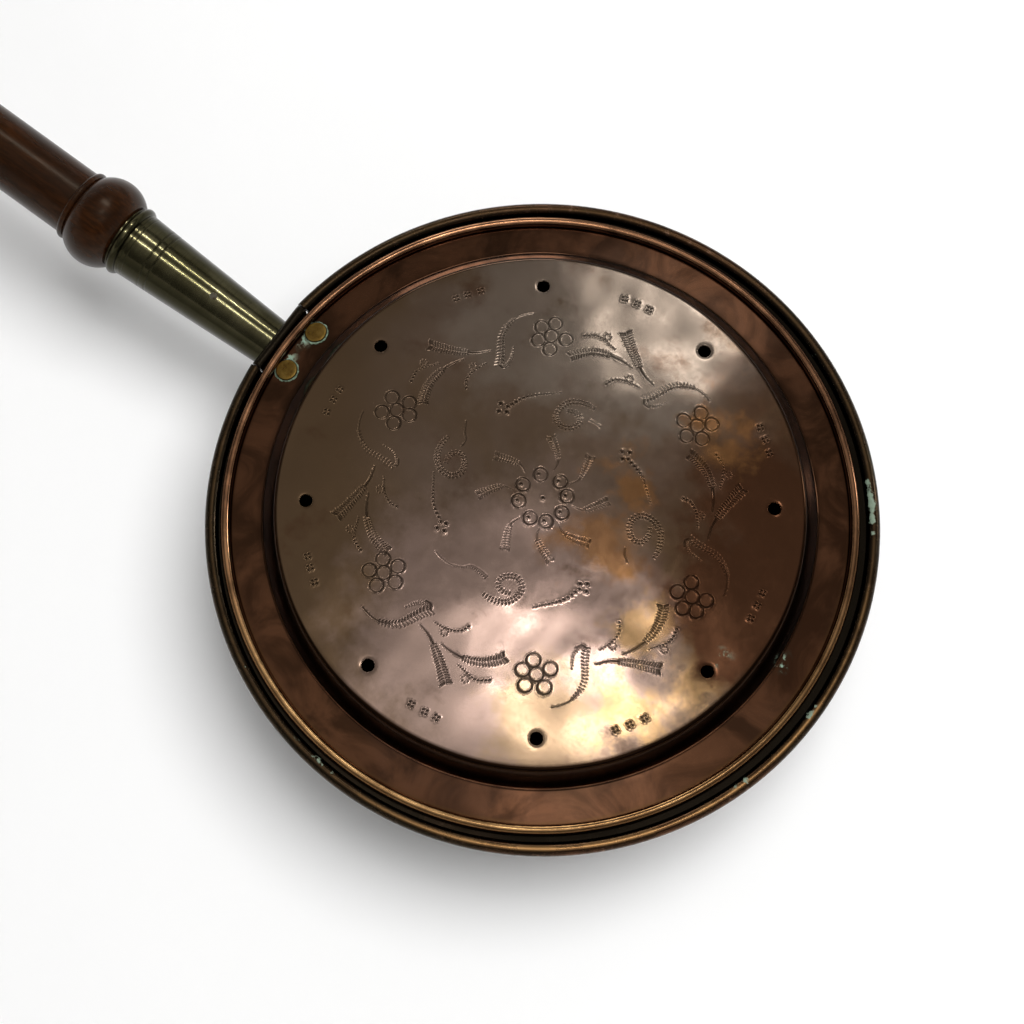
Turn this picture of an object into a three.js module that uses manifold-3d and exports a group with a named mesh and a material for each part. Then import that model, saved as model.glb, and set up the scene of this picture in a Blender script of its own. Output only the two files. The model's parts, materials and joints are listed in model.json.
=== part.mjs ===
// A bed warming pan: a copper pan for embers, a pierced copper lid hinged on the pan's wired rim,
// a turned brass socket riveted to the pan's side and a turned wooden handle pinned into it.
// Millimetres, +Z up. The origin is the centre of the pan's flat underside, and the handle runs
// out along +X, rising a little. The hinge lies along Y, over the handle's root.
import * as THREE from 'three';
import { mergeVertices } from 'three/addons/utils/BufferGeometryUtils.js';
import ManifoldModule from 'manifold-3d';

const wasm = await ManifoldModule();
wasm.setup();

// ---- Driving dimensions -----------------------------------------------------------------------

const seatGap = 0.3; // gap between pieces that touch or nest
const roundSteps = 52; // facets round the pan and the lid
const curlSteps = 8; // facets round a rolled edge
const curlSweep = 296; // degrees that a rolled edge turns over its wire

const panSheet = 1.2;
const panRimRadius = 150; // over the rolled rim
const panRimHeight = 76; // centre of the rolled rim above the underside
const panBeadRadius = 2.9; // outer radius of the rolled rim's section
const panLedgeWidth = 9.4; // from the wall to the rolled rim, at mid sheet
const panLedgeFillet = 1.6;
const panUpturnFillet = 1;
const panDraft = 5.2; // degrees that the wall leans in towards the base
const panCornerRadius = 16;

const lidSheet = 0.9;
const lidBeadRadius = 2.2;
const rimGap = 2.2; // between the two rolled edges, when the lid is central
const bandSlope = 9.2; // degrees that the lid's plain band rises inwards
const bandWidth = 16.2; // from the middle of the rolled edge to the foot of the steep step
const lidStepRun = 8.6;
const lidStepRise = 10.4;
const lidFootFillet = 3;
const lidShoulderFillet = 4;
const lidCrown = 2; // rise of the disc's middle over its edge

const ventCount = 8;
const ventRadius = 3;
const ventInset = 12.4; // from the edge of the raised disc
const ventTurn = -11.1; // degrees from the handle to the nearest vent

const hingeWidth = 34;
const hingeSideGap = 0.8; // between the knuckle's ends and the cut rim
const leafSheet = 1;
const leafMargin = 4.6; // from the rivets' tails to the leaf's inner end
const leafCornerRadius = 9;
const leafGap = 0.45; // between the leaf and the lid's band
const knuckleGap = 0.35; // between the knuckle and the lid's rolled edge
const notchFloor = 4; // depth of the notch below the pin's axis

const lidRivetInset = 0.55; // from the lid's rolled edge to the rivets' heads
const lidRivetSideInset = 5.9; // from the leaf's sides to the rivets
const lidRivetHeadRadius = 4.9;
const lidRivetHeadRise = 1.1;
const lidRivetShankRadius = 2.2;
const lidRivetTailRadius = 3.6;
const lidRivetTailRise = 1;

const handleRise = 8.5; // degrees that the handle climbs away from the pan
const socketDrop = 20.5; // from the rim's plane down to the handle's axis, at the wall
const socketLength = 104; // from the wall to the mouth, along the axis
const socketWall = 2.2;
const socketRootRadius = 11.2;
const socketFlare = 4.5; // radius of the hollow where the socket spreads into its flange
const socketMouthRadius = 16;
const socketEndBeadRadius = 17.7;
const socketEndBeadWidth = 5.4;
const socketLineDepth = 0.4;
const socketLineWidth = 0.9;
const socketLineStations = [82.2, 85.8]; // from the wall, along the axis
const flangeThickness = 2;
const flangeTopGap = 2; // from the pan's ledge down to the flange

const flangeRivetInset = 8.5; // from the flange's ends to the rivets
const flangeRivetGap = 0.3; // between the rivets' heads and the socket's root
const flangeRivetShankRadius = 2;
const flangeRivetHeadRadius = 4.1;
const flangeRivetHeadRise = 1.8;
const flangeRivetTailRise = 1.2;

const pinStation = 51.7; // from the wall, along the socket's axis
const pinTurn = 5; // degrees round the socket from its top
const pinShankRadius = 1.1;
const pinHeadRadius = 1.7;
const pinHeadRise = 0.6;
const pinDepth = 12;

const tenonStart = 14; // from the wall, along the axis
const bulbLength = 23.2;
const bulbRadius = 22.1;
const neckRadius = 17;
const collarLength = 3.4;
const collarRadius = 17.9;
const rodRadius = 16.3;
const rodLength = 118;
const shaftRadius = 14.6;
const shaftLength = 452;
const shaftEndRadius = 13.4;
const turnedBeadLength = 8;
const turnedBeadRadius = 17.6;
const turnedCoveLength = 7;
const turnedCoveRadius = 12.2;
const finialLength = 34;
const finialRadius = 17.2;
const finialNeckRadius = 9.5;
const finialNeckLength = 9;

// ---- Materials --------------------------------------------------------------------------------

function metal(color, roughness) {
  return new THREE.MeshStandardMaterial({ color, roughness, metalness: 1 });
}

const panCopper = metal(0x6f4030, 0.3);
const lidCopper = metal(0x8a5a48, 0.28);
const hingeCopper = metal(0x5c3a2c, 0.4);
const rimIron = metal(0x3c3835, 0.6);
const socketBrass = metal(0x5f5a38, 0.25);
const rivetBrass = metal(0x8a6c30, 0.4);
const rivetCopper = metal(0x744630, 0.4);
const pinIron = metal(0x4a4640, 0.5);
const darkWood = new THREE.MeshStandardMaterial({ color: 0x3a1a0e, roughness: 0.3, metalness: 0 });

// ---- Shape helpers ----------------------------------------------------------------------------

const radians = THREE.MathUtils.degToRad;
const fullTurn = 2 * Math.PI;
const point = (x, y) => new THREE.Vector2(x, y);

// Points of an arc, both ends included. Angles are in degrees.
function arc(centre, radius, from, to, steps) {
  const points = [];
  for (let i = 0; i <= steps; i += 1) {
    const angle = radians(from + ((to - from) * i) / steps);
    points.push(point(centre.x + radius * Math.cos(angle), centre.y + radius * Math.sin(angle)));
  }
  return points;
}

// The arc that rounds the corner between two straight runs.
function fillet(before, corner, after, radius, steps) {
  const back = before.clone().sub(corner).normalize();
  const on = after.clone().sub(corner).normalize();
  const halfAngle = back.angleTo(on) / 2;
  const middle = back.clone().add(on).normalize();
  const centre = corner.clone().addScaledVector(middle, radius / Math.sin(halfAngle));
  const setback = radius / Math.tan(halfAngle);
  const first = corner.clone().addScaledVector(back, setback).sub(centre);
  const last = corner.clone().addScaledVector(on, setback).sub(centre);
  const from = THREE.MathUtils.radToDeg(first.angle());
  let sweep = THREE.MathUtils.radToDeg(last.angle()) - from;
  sweep -= 360 * Math.round(sweep / 360);
  return arc(centre, radius, from, from + sweep, steps);
}

// The closed outline of a sheet of one thickness that follows a path.
function sheetOutline(path, thickness) {
  const left = [];
  const right = [];
  path.forEach((here, i) => {
    const into = here.clone().sub(path[Math.max(i - 1, 0)]).normalize();
    const out = path[Math.min(i + 1, path.length - 1)].clone().sub(here).normalize();
    const along = into.clone().add(out).normalize();
    const straight = Math.max(into.lengthSq() ? along.dot(into) : 1, 0.5);
    const across = point(-along.y, along.x).multiplyScalar(thickness / 2 / straight);
    left.push(here.clone().add(across));
    right.push(here.clone().sub(across));
  });
  return [...left, ...right.reverse()];
}

// Turns every face outwards, going by the sign of the enclosed volume.
function faceOutwards(geometry) {
  const place = geometry.getAttribute('position');
  const index = geometry.index.array;
  const [a, b, c] = [new THREE.Vector3(), new THREE.Vector3(), new THREE.Vector3()];
  let volume = 0;
  for (let i = 0; i < index.length; i += 3) {
    a.fromBufferAttribute(place, index[i]);
    b.fromBufferAttribute(place, index[i + 1]);
    c.fromBufferAttribute(place, index[i + 2]);
    volume += a.dot(b.cross(c));
  }
  if (volume < 0) {
    for (let i = 0; i < index.length; i += 3) {
      [index[i + 1], index[i + 2]] = [index[i + 2], index[i + 1]];
    }
  }
  return geometry;
}

// Merges shared corners and drops the triangles that have collapsed, as they do on an axis.
function closedMesh(geometry) {
  geometry.deleteAttribute('normal');
  geometry.deleteAttribute('uv');
  const merged = mergeVertices(geometry, 1e-4);
  const index = merged.index.array;
  const kept = [];
  for (let i = 0; i < index.length; i += 3) {
    const [a, b, c] = [index[i], index[i + 1], index[i + 2]];
    if (a !== b && b !== c && c !== a) kept.push(a, b, c);
  }
  merged.setIndex(kept);
  return faceOutwards(merged);
}

// Revolves a closed outline of (radius, height) points round the Z axis, with a corner on +X.
function revolve(outline, steps) {
  const lathe = new THREE.LatheGeometry([...outline, outline[0]], steps, Math.PI / 2);
  return closedMesh(lathe.rotateX(Math.PI / 2));
}

// Extrudes an outline drawn in X and Z along Y, centred on Y = 0.
function extrudeAlongY(outline, width) {
  const slab = new THREE.ExtrudeGeometry(new THREE.Shape(outline), {
    depth: width,
    bevelEnabled: false,
  });
  return closedMesh(slab.translate(0, 0, -width / 2).rotateX(Math.PI / 2));
}

// A round rod along the local Z axis, used to cut holes.
function rod(radius, low, high, sides = 12) {
  return revolve([point(0, low), point(radius, low), point(radius, high), point(0, high)], sides);
}

// A solid of revolution from its outer profile alone, as (radius, height) points going up.
function turned(profile, steps) {
  const low = profile[0].y;
  const high = profile[profile.length - 1].y;
  return revolve([point(0, low), ...profile, point(0, high)], steps);
}

// A closed ring of round wire along flat, closed path points at one height.
function closedWire(path, height, radius, sides) {
  const corners = [];
  const faces = [];
  const count = path.length;
  path.forEach((here, i) => {
    const next = (i + 1) % count;
    const into = here.clone().sub(path[(i + count - 1) % count]).normalize();
    const along = path[next].clone().sub(here).normalize().add(into).normalize();
    for (let k = 0; k < sides; k += 1) {
      const angle = (fullTurn * k) / sides;
      const sideways = radius * Math.cos(angle);
      const rise = radius * Math.sin(angle);
      corners.push(here.x + along.y * sideways, here.y - along.x * sideways, height + rise);
      const beside = (k + 1) % sides;
      const [a, b] = [i * sides + k, i * sides + beside];
      const [c, d] = [next * sides + k, next * sides + beside];
      faces.push(a, c, b, b, c, d);
    }
  });
  const wire = new THREE.BufferGeometry();
  wire.setAttribute('position', new THREE.Float32BufferAttribute(corners, 3));
  wire.setIndex(faces);
  return faceOutwards(wire);
}

function toSolid(geometry) {
  const vertProperties = Float32Array.from(geometry.getAttribute('position').array);
  const triVerts = Uint32Array.from(geometry.index.array);
  return new wasm.Manifold(new wasm.Mesh({ numProp: 3, vertProperties, triVerts }));
}

function fromSolid(solid) {
  const result = solid.getMesh();
  const geometry = new THREE.BufferGeometry();
  geometry.setAttribute('position', new THREE.BufferAttribute(result.vertProperties, 3));
  geometry.setIndex(new THREE.BufferAttribute(result.triVerts, 1));
  return geometry;
}

const cut = (geometry, tools) =>
  fromSolid(tools.reduce((solid, tool) => solid.subtract(toSolid(tool)), toSolid(geometry)));
const join = (a, b) => fromSolid(toSolid(a).add(toSolid(b)));
const overlap = (a, b) => fromSolid(toSolid(a).intersect(toSolid(b)));

// How far a faceted ring of the pan reaches in a direction. Its corners are on the full radius.
function facetRadius(radius, angle) {
  const step = fullTurn / roundSteps;
  const fromMiddle = THREE.MathUtils.euclideanModulo(angle, step) - step / 2;
  return (radius * Math.cos(step / 2)) / Math.cos(fromMiddle);
}

// A round swelling, or a hollow, of a turned profile between two heights.
function swell(low, high, base, peak, steps) {
  const rise = peak - base;
  const half = (high - low) / 2;
  const radius = (rise * rise + half * half) / (2 * Math.abs(rise));
  const side = Math.sign(rise);
  const halfAngle = Math.atan2(half, radius - Math.abs(rise));
  const points = [];
  for (let i = 0; i <= steps; i += 1) {
    const angle = halfAngle * ((2 * i) / steps - 1);
    const reach = peak - side * radius * (1 - Math.cos(angle));
    points.push(point(reach, low + half + radius * Math.sin(angle)));
  }
  return points;
}

// A rivet along the local Z axis. It grips from the height gripLow to gripHigh.
function rivet({ shank, gripLow, gripHigh, head, headRise, tail, tailRise, domed }) {
  const headEdge = domed ? [] : [point(head, gripHigh + headRise / 2)];
  const headTop = point(domed ? head * 0.45 : head - headRise / 2, gripHigh + headRise);
  const dome = domed ? [point(head * 0.8, gripHigh + headRise * 0.65)] : [];
  const profile = [
    point(tail, gripLow - tailRise),
    point(tail, gripLow),
    point(shank, gripLow),
    point(shank, gripHigh),
    point(head, gripHigh),
    ...headEdge,
    ...dome,
    headTop,
  ];
  return turned(profile, 14);
}

// ---- Places worked out from the driving dimensions --------------------------------------------

const slope = radians(bandSlope);
const curlHalfStep = radians(curlSweep / curlSteps / 2);

// The free radius inside a rolled edge, and the rolled edge that leaves a given free radius.
const curlBore = (outer, sheet) => (outer - sheet / 2) * Math.cos(curlHalfStep) - sheet / 2;
const curlOuter = (bore, sheet) => (bore + sheet / 2) / Math.cos(curlHalfStep) + sheet / 2;

const panBeadCentre = panRimRadius - panBeadRadius;
const panCurlRadius = panBeadRadius - panSheet / 2;
const panWireRadius = curlBore(panBeadRadius, panSheet) - seatGap;
const lidWireRadius = curlBore(lidBeadRadius, lidSheet) - seatGap;
const knuckleRadius = curlOuter(panWireRadius + seatGap, leafSheet);

// The rim wire runs straight between the cut ends of the rim. That stretch is the hinge's pin.
const notchHalfWidth = hingeWidth / 2 + hingeSideGap;

// How far out a faceted ring lies at a distance to the side of the handle's axis.
function facetX(radius, y) {
  const step = fullTurn / roundSteps;
  const corner = Math.floor(Math.asin(y / radius) / step);
  const [low, high] = [corner * step, (corner + 1) * step];
  const share = (y - radius * Math.sin(low)) / (radius * (Math.sin(high) - Math.sin(low)));
  return radius * THREE.MathUtils.lerp(Math.cos(low), Math.cos(high), share);
}
const hingeX = facetX(panBeadCentre, notchHalfWidth);

// The lid's rolled edge clears the knuckle by one gap and its band clears the leaf by another.
const lidBeadCentre = panRimRadius - 2 * panBeadRadius - rimGap - lidBeadRadius;
const beadOffLeaf = lidBeadRadius + leafGap - (knuckleRadius - leafSheet);
const beadAlongLeaf = Math.sqrt(
  (knuckleRadius + lidBeadRadius + knuckleGap) ** 2 - beadOffLeaf ** 2,
);
const beadBack = beadAlongLeaf * Math.cos(slope) - beadOffLeaf * Math.sin(slope);
const lidShift = hingeX - beadBack - lidBeadCentre;
const lidBeadHeight =
  panRimHeight + beadAlongLeaf * Math.sin(slope) + beadOffLeaf * Math.cos(slope);
const lidFootRadius = lidBeadCentre - bandWidth;
const lidDiscRadius = lidFootRadius - lidStepRun;
const ventCircleRadius = lidDiscRadius - ventInset;

// Distances along the leaf from the pin's axis, and to each side of the middle.
const lidRivetReach = beadAlongLeaf + lidBeadRadius + lidRivetInset + lidRivetHeadRadius;
const lidRivetSide = hingeWidth / 2 - lidRivetSideInset;
const leafReach = lidRivetReach + lidRivetTailRadius + leafMargin;

const ledgeMid = lidBeadHeight - lidBeadRadius - seatGap - panSheet / 2;
const ledgeOuter = panBeadCentre - panCurlRadius;
const wallTopRadius = ledgeOuter - panLedgeWidth;

// The radius of the pan's wall at a height: its middle, and its outer face.
const wallMiddle = (z) => wallTopRadius - (ledgeMid - z) * Math.tan(radians(panDraft));
const wallOuter = (z) => wallMiddle(z) + panSheet / 2 / Math.cos(radians(panDraft));

// The socket's own frame has its Z axis out along the handle, from the pan's wall.
const socketHeight = panRimHeight - socketDrop;
const socketFrame = new THREE.Matrix4()
  .makeRotationY(radians(90 - handleRise))
  .setPosition(wallOuter(socketHeight), 0, socketHeight);
const flangeFace = seatGap + flangeThickness;
const flangeHalfHeight = ledgeMid - panSheet / 2 - flangeTopGap - socketHeight;
const flangeRivetUp = flangeHalfHeight - flangeRivetInset;
const flangeRivetOut =
  socketRootRadius + socketFlare + flangeRivetGap + flangeRivetHeadRadius;
const flangeRivetAcross = Math.sqrt(flangeRivetOut ** 2 - flangeRivetUp ** 2);
const flangeHalfWidth = flangeRivetAcross + flangeRivetInset;
const taperStart = flangeFace + socketFlare;
const taperEnd = socketLength - socketEndBeadWidth;
const taperRadius = (s) =>
  THREE.MathUtils.mapLinear(s, taperStart, taperEnd, socketRootRadius, socketMouthRadius);
const boreRadius = (s) => taperRadius(s) - socketWall;

// A frame whose Z axis points along a direction, at a place.
function frameAlong(direction, place) {
  const turn = new THREE.Quaternion().setFromUnitVectors(new THREE.Vector3(0, 0, 1), direction);
  return new THREE.Matrix4().compose(place, turn, new THREE.Vector3(1, 1, 1));
}

// The lid's rivets stand square to the leaf. Height 0 is the leaf's upper face.
function lidRivetFrame(side) {
  const square = new THREE.Vector3(Math.sin(slope), 0, Math.cos(slope));
  const pin = new THREE.Vector3(hingeX, side * lidRivetSide, panRimHeight);
  const inwards = new THREE.Vector3(-Math.cos(slope), 0, Math.sin(slope));
  pin.addScaledVector(inwards, lidRivetReach);
  pin.addScaledVector(square, leafSheet - knuckleRadius);
  return frameAlong(square, pin);
}

// The flange's rivets stand square to the pan's wall. Height 0 is the wall's outer face.
function flangeRivetFrame(across, up) {
  const z = socketHeight + up;
  const angle = Math.asin(across / wallOuter(z));
  const reach = facetRadius(wallOuter(z), angle);
  const draft = radians(panDraft);
  const out = new THREE.Vector3(
    Math.cos(draft) * Math.cos(angle),
    Math.cos(draft) * Math.sin(angle),
    -Math.sin(draft),
  );
  const place = new THREE.Vector3(reach * Math.cos(angle), reach * Math.sin(angle), z);
  return frameAlong(out, place);
}
const flangeRivetFrames = [
  flangeRivetFrame(flangeRivetAcross, flangeRivetUp),
  flangeRivetFrame(-flangeRivetAcross, flangeRivetUp),
  flangeRivetFrame(-flangeRivetAcross, -flangeRivetUp),
  flangeRivetFrame(flangeRivetAcross, -flangeRivetUp),
];

// The handle's pin points out of the socket's top. Height 0 is the socket's outer face.
function pinFrame() {
  const turn = radians(pinTurn);
  const out = new THREE.Vector3(-Math.cos(turn), Math.sin(turn), 0);
  const place = out.clone().multiplyScalar(taperRadius(pinStation));
  place.z = pinStation;
  return frameAlong(out, place);
}

// ---- The pan and its rim wire -----------------------------------------------------------------

function panBowl() {
  const middle = point(0, panSheet / 2);
  const corner = point(wallMiddle(panSheet / 2), panSheet / 2);
  const ledgeInner = point(wallTopRadius, ledgeMid);
  const upturn = point(ledgeOuter, ledgeMid);
  const rim = point(panBeadCentre, panRimHeight);
  const path = [
    middle,
    ...fillet(middle, corner, ledgeInner, panCornerRadius, 4),
    ...fillet(corner, ledgeInner, upturn, panLedgeFillet, 2),
    ...fillet(ledgeInner, upturn, point(ledgeOuter, panRimHeight), panUpturnFillet, 2),
    ...arc(rim, panCurlRadius, 180, 180 - curlSweep, curlSteps),
  ];
  const bowl = revolve(sheetOutline(path, panSheet), roundSteps);
  const deep = 2 * panBeadRadius + notchFloor;
  const notch = new THREE.BoxGeometry(2 * panLedgeWidth + 4 * panBeadRadius, 2 * notchHalfWidth, deep);
  notch.translate(hingeX, 0, panRimHeight - notchFloor + deep / 2);
  const holes = flangeRivetFrames.map((frame) =>
    rod(flangeRivetShankRadius + seatGap, -3 * panSheet, 2 * panSheet).applyMatrix4(frame),
  );
  return cut(bowl, [closedMesh(notch), ...holes]);
}

function panRimWire() {
  const path = [point(hingeX, notchHalfWidth)];
  for (let i = 0; i < roundSteps; i += 1) {
    const angle = (fullTurn * i) / roundSteps;
    const corner = point(panBeadCentre * Math.cos(angle), panBeadCentre * Math.sin(angle));
    if (corner.x < 0 || Math.abs(corner.y) > notchHalfWidth) path.push(corner);
  }
  path.push(point(hingeX, -notchHalfWidth));
  return closedWire(path, panRimHeight, panWireRadius, 6);
}

// ---- The lid and its edge wire ----------------------------------------------------------------

function lidPlate() {
  const curlRadius = lidBeadRadius - lidSheet / 2;
  const edge = point(lidBeadCentre, lidBeadHeight);
  const curl = arc(edge, curlRadius, -90 - bandSlope, curlSweep - 90 - bandSlope, curlSteps);
  const footHeight = curl[0].y + (curl[0].x - lidFootRadius) * Math.tan(slope);
  const foot = point(lidFootRadius, footHeight);
  const shoulder = point(lidDiscRadius, footHeight + lidStepRise);
  const onDisc = (share) =>
    point(share * lidDiscRadius, shoulder.y + lidCrown * (1 - share * share));
  const path = [
    onDisc(0),
    onDisc(0.4),
    onDisc(0.75),
    ...fillet(onDisc(0.75), shoulder, foot, lidShoulderFillet, 3),
    ...fillet(shoulder, foot, curl[0], lidFootFillet, 2),
    ...curl,
  ];
  const plate = revolve(sheetOutline(path, lidSheet), roundSteps).translate(lidShift, 0, 0);
  const high = shoulder.y + 2 * lidCrown + lidSheet;
  const vents = [];
  for (let i = 0; i < ventCount; i += 1) {
    const angle = radians(ventTurn) + (fullTurn * i) / ventCount;
    const vent = rod(ventRadius, lidBeadHeight, high, 10);
    const [x, y] = [ventCircleRadius * Math.cos(angle), ventCircleRadius * Math.sin(angle)];
    vents.push(vent.translate(lidShift + x, y, 0));
  }
  const rivetHoles = [1, -1].map((side) =>
    rod(lidRivetShankRadius + seatGap, 0, 4 * lidSheet).applyMatrix4(lidRivetFrame(side)),
  );
  return cut(plate, [...vents, ...rivetHoles]);
}

function lidRimWire() {
  const path = [];
  for (let i = 0; i < roundSteps; i += 1) {
    const angle = (fullTurn * i) / roundSteps;
    path.push(point(lidShift + lidBeadCentre * Math.cos(angle), lidBeadCentre * Math.sin(angle)));
  }
  return closedWire(path, lidBeadHeight, lidWireRadius, 6);
}

// ---- The hinge --------------------------------------------------------------------------------

function hingeLeaf() {
  const pin = point(hingeX, panRimHeight);
  const curlRadius = knuckleRadius - leafSheet / 2;
  const curl = arc(pin, curlRadius, -90 - bandSlope, curlSweep - 90 - bandSlope, curlSteps);
  const innerX = hingeX - leafReach;
  const inner = point(innerX, curl[0].y + (curl[0].x - innerX) * Math.tan(slope));
  const strap = extrudeAlongY(sheetOutline([inner, ...curl], leafSheet), hingeWidth);

  const half = hingeWidth / 2;
  const straight = half - leafCornerRadius;
  const outerX = hingeX + 2 * knuckleRadius;
  const roundX = innerX + leafCornerRadius;
  const plan = [
    point(outerX, -half),
    point(outerX, half),
    ...arc(point(roundX, straight), leafCornerRadius, 90, 180, 4),
    ...arc(point(roundX, -straight), leafCornerRadius, 180, 270, 4),
  ];
  const high = 4 * knuckleRadius;
  const prism = new THREE.ExtrudeGeometry(new THREE.Shape(plan), {
    depth: 2 * high,
    bevelEnabled: false,
  }).translate(0, 0, panRimHeight - high);
  const holes = [1, -1].map((side) =>
    rod(lidRivetShankRadius + seatGap, -3 * leafSheet, leafSheet).applyMatrix4(lidRivetFrame(side)),
  );
  return cut(overlap(strap, closedMesh(prism)), holes);
}

function lidRivet(side) {
  const geometry = rivet({
    shank: lidRivetShankRadius,
    gripLow: -leafSheet - seatGap,
    gripHigh: leafGap + lidSheet + seatGap,
    head: lidRivetHeadRadius,
    headRise: lidRivetHeadRise,
    tail: lidRivetTailRadius,
    tailRise: lidRivetTailRise,
    domed: false,
  });
  return geometry.applyMatrix4(lidRivetFrame(side));
}

// ---- The socket, its flange and rivets --------------------------------------------------------

// A solid, or a ring, that follows the pan's wall at two distances outside its outer face.
function wallBand(near, far) {
  const low = socketHeight - 2 * flangeHalfHeight;
  const high = socketHeight + 2 * flangeHalfHeight;
  const inner = near === null ? () => 0 : (z) => wallOuter(z) + near;
  const outline = [
    point(inner(low), low),
    point(wallOuter(low) + far, low),
    point(wallOuter(high) + far, high),
    point(inner(high), high),
  ];
  return revolve(outline, roundSteps);
}

function handleSocket() {
  const lines = socketLineStations.flatMap((s) => [
    point(taperRadius(s - socketLineWidth / 2), s - socketLineWidth / 2),
    point(taperRadius(s) - socketLineDepth, s),
    point(taperRadius(s + socketLineWidth / 2), s + socketLineWidth / 2),
  ]);
  const flareCentre = point(socketRootRadius + socketFlare, taperStart);
  const profile = [
    point(flareCentre.x, -flangeThickness),
    ...arc(flareCentre, socketFlare, 270, 180, 3),
    ...lines,
    ...swell(taperEnd, socketLength, socketMouthRadius, socketEndBeadRadius, 4),
  ];
  const tube = turned(profile, 22).applyMatrix4(socketFrame);

  const oval = arc(point(0, 0), 1, 0, 345, 23).map((p) =>
    point(p.x * flangeHalfWidth, socketHeight + p.y * flangeHalfHeight),
  );
  const plate = new THREE.ExtrudeGeometry(new THREE.Shape(oval), {
    depth: panRimRadius,
    bevelEnabled: false,
  });
  const ovalBlock = closedMesh(plate.rotateX(Math.PI / 2).rotateZ(Math.PI / 2));
  const flange = overlap(ovalBlock, wallBand(seatGap, flangeFace));

  const boreLow = -2 * flangeFace;
  const boreHigh = socketLength + seatGap;
  const bore = turned(
    [point(boreRadius(boreLow), boreLow), point(boreRadius(boreHigh), boreHigh)],
    22,
  );
  const pinHole = rod(pinShankRadius + seatGap, -2 * socketWall, socketWall, 8);
  const holes = flangeRivetFrames.map((frame) =>
    rod(flangeRivetShankRadius + seatGap, -flangeFace, 2 * flangeFace).applyMatrix4(frame),
  );
  return cut(join(tube, flange), [
    wallBand(null, seatGap),
    bore.applyMatrix4(socketFrame),
    pinHole.applyMatrix4(pinFrame()).applyMatrix4(socketFrame),
    ...holes,
  ]);
}

function flangeRivet(frame) {
  const geometry = rivet({
    shank: flangeRivetShankRadius,
    gripLow: -panSheet - seatGap,
    gripHigh: flangeFace + seatGap,
    head: flangeRivetHeadRadius,
    headRise: flangeRivetHeadRise,
    tail: flangeRivetHeadRadius,
    tailRise: flangeRivetTailRise,
    domed: true,
  });
  return geometry.applyMatrix4(frame);
}

// ---- The handle and its pin, in the socket's own frame ------------------------------------------

function woodenHandle() {
  const shoulder = socketLength + seatGap;
  const collarLow = shoulder + bulbLength;
  const rodLow = collarLow + collarLength;
  const rodHigh = rodLow + rodLength;
  const shaftLow = rodHigh + turnedBeadLength + turnedCoveLength;
  const shaftHigh = shaftLow + shaftLength;
  const lastBeadLow = shaftHigh + turnedCoveLength;
  const neckLow = lastBeadLow + turnedBeadLength;
  const finialLow = neckLow + finialNeckLength;
  const profile = [
    point(boreRadius(tenonStart) - seatGap, tenonStart),
    point(boreRadius(shoulder) - seatGap, shoulder),
    ...swell(shoulder, collarLow, neckRadius, bulbRadius, 8),
    ...swell(collarLow, rodLow, rodRadius, collarRadius, 3),
    point(rodRadius, rodHigh),
    ...swell(rodHigh, rodHigh + turnedBeadLength, rodRadius, turnedBeadRadius, 3),
    ...swell(rodHigh + turnedBeadLength, shaftLow, shaftRadius, turnedCoveRadius, 3),
    point((shaftRadius + shaftEndRadius) / 2, (shaftLow + shaftHigh) / 2),
    ...swell(shaftHigh, lastBeadLow, shaftEndRadius, turnedCoveRadius, 3),
    ...swell(lastBeadLow, neckLow, shaftEndRadius, turnedBeadRadius, 3),
    ...swell(neckLow, finialLow, shaftEndRadius, finialNeckRadius, 3),
    ...swell(finialLow, finialLow + finialLength, finialNeckRadius, finialRadius, 6).slice(1),
  ];
  const hole = rod(pinShankRadius + seatGap, -pinDepth - seatGap, pinDepth, 8);
  return cut(turned(profile, 18), [hole.applyMatrix4(pinFrame())]);
}

function handlePin() {
  const profile = [
    point(pinShankRadius, -pinDepth),
    point(pinShankRadius, seatGap),
    point(pinHeadRadius, seatGap),
    point(pinHeadRadius / 2, seatGap + pinHeadRise),
  ];
  return turned(profile, 8).applyMatrix4(pinFrame());
}

// ---- The assembly -----------------------------------------------------------------------------

const warmingPan = new THREE.Group();

function addPiece(name, geometry, material, parent = warmingPan) {
  const mesh = new THREE.Mesh(geometry, material);
  mesh.name = name;
  parent.add(mesh);
}

addPiece('pan_bowl', panBowl(), panCopper);
addPiece('pan_rim_wire', panRimWire(), rimIron);

const lid = new THREE.Group();
warmingPan.add(lid);
addPiece('lid', lidPlate(), lidCopper, lid);
addPiece('lid_rim_wire', lidRimWire(), rimIron, lid);
addPiece('hinge_leaf', hingeLeaf(), hingeCopper, lid);
addPiece('lid_rivet_left', lidRivet(1), rivetBrass, lid);
addPiece('lid_rivet_right', lidRivet(-1), rivetBrass, lid);

addPiece('handle_socket', handleSocket(), socketBrass);
flangeRivetFrames.forEach((frame, i) => {
  addPiece(`socket_rivet_${i + 1}`, flangeRivet(frame), rivetCopper);
});

const alongHandle = new THREE.Group();
socketFrame.decompose(alongHandle.position, alongHandle.quaternion, alongHandle.scale);
warmingPan.add(alongHandle);
addPiece('handle', woodenHandle(), darkWood, alongHandle);
addPiece('handle_pin', handlePin(), pinIron, alongHandle);

export default warmingPan;
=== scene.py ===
# A bed warming pan on a pale floor, seen from nearly overhead: the looks of every piece, built round
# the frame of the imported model. Shapes are drawn in millimetres in the model's own frame and become
# metres when a mesh is made.
import json
import math

import bmesh
import bpy
import numpy as np
from mathutils import Matrix, Vector


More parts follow.
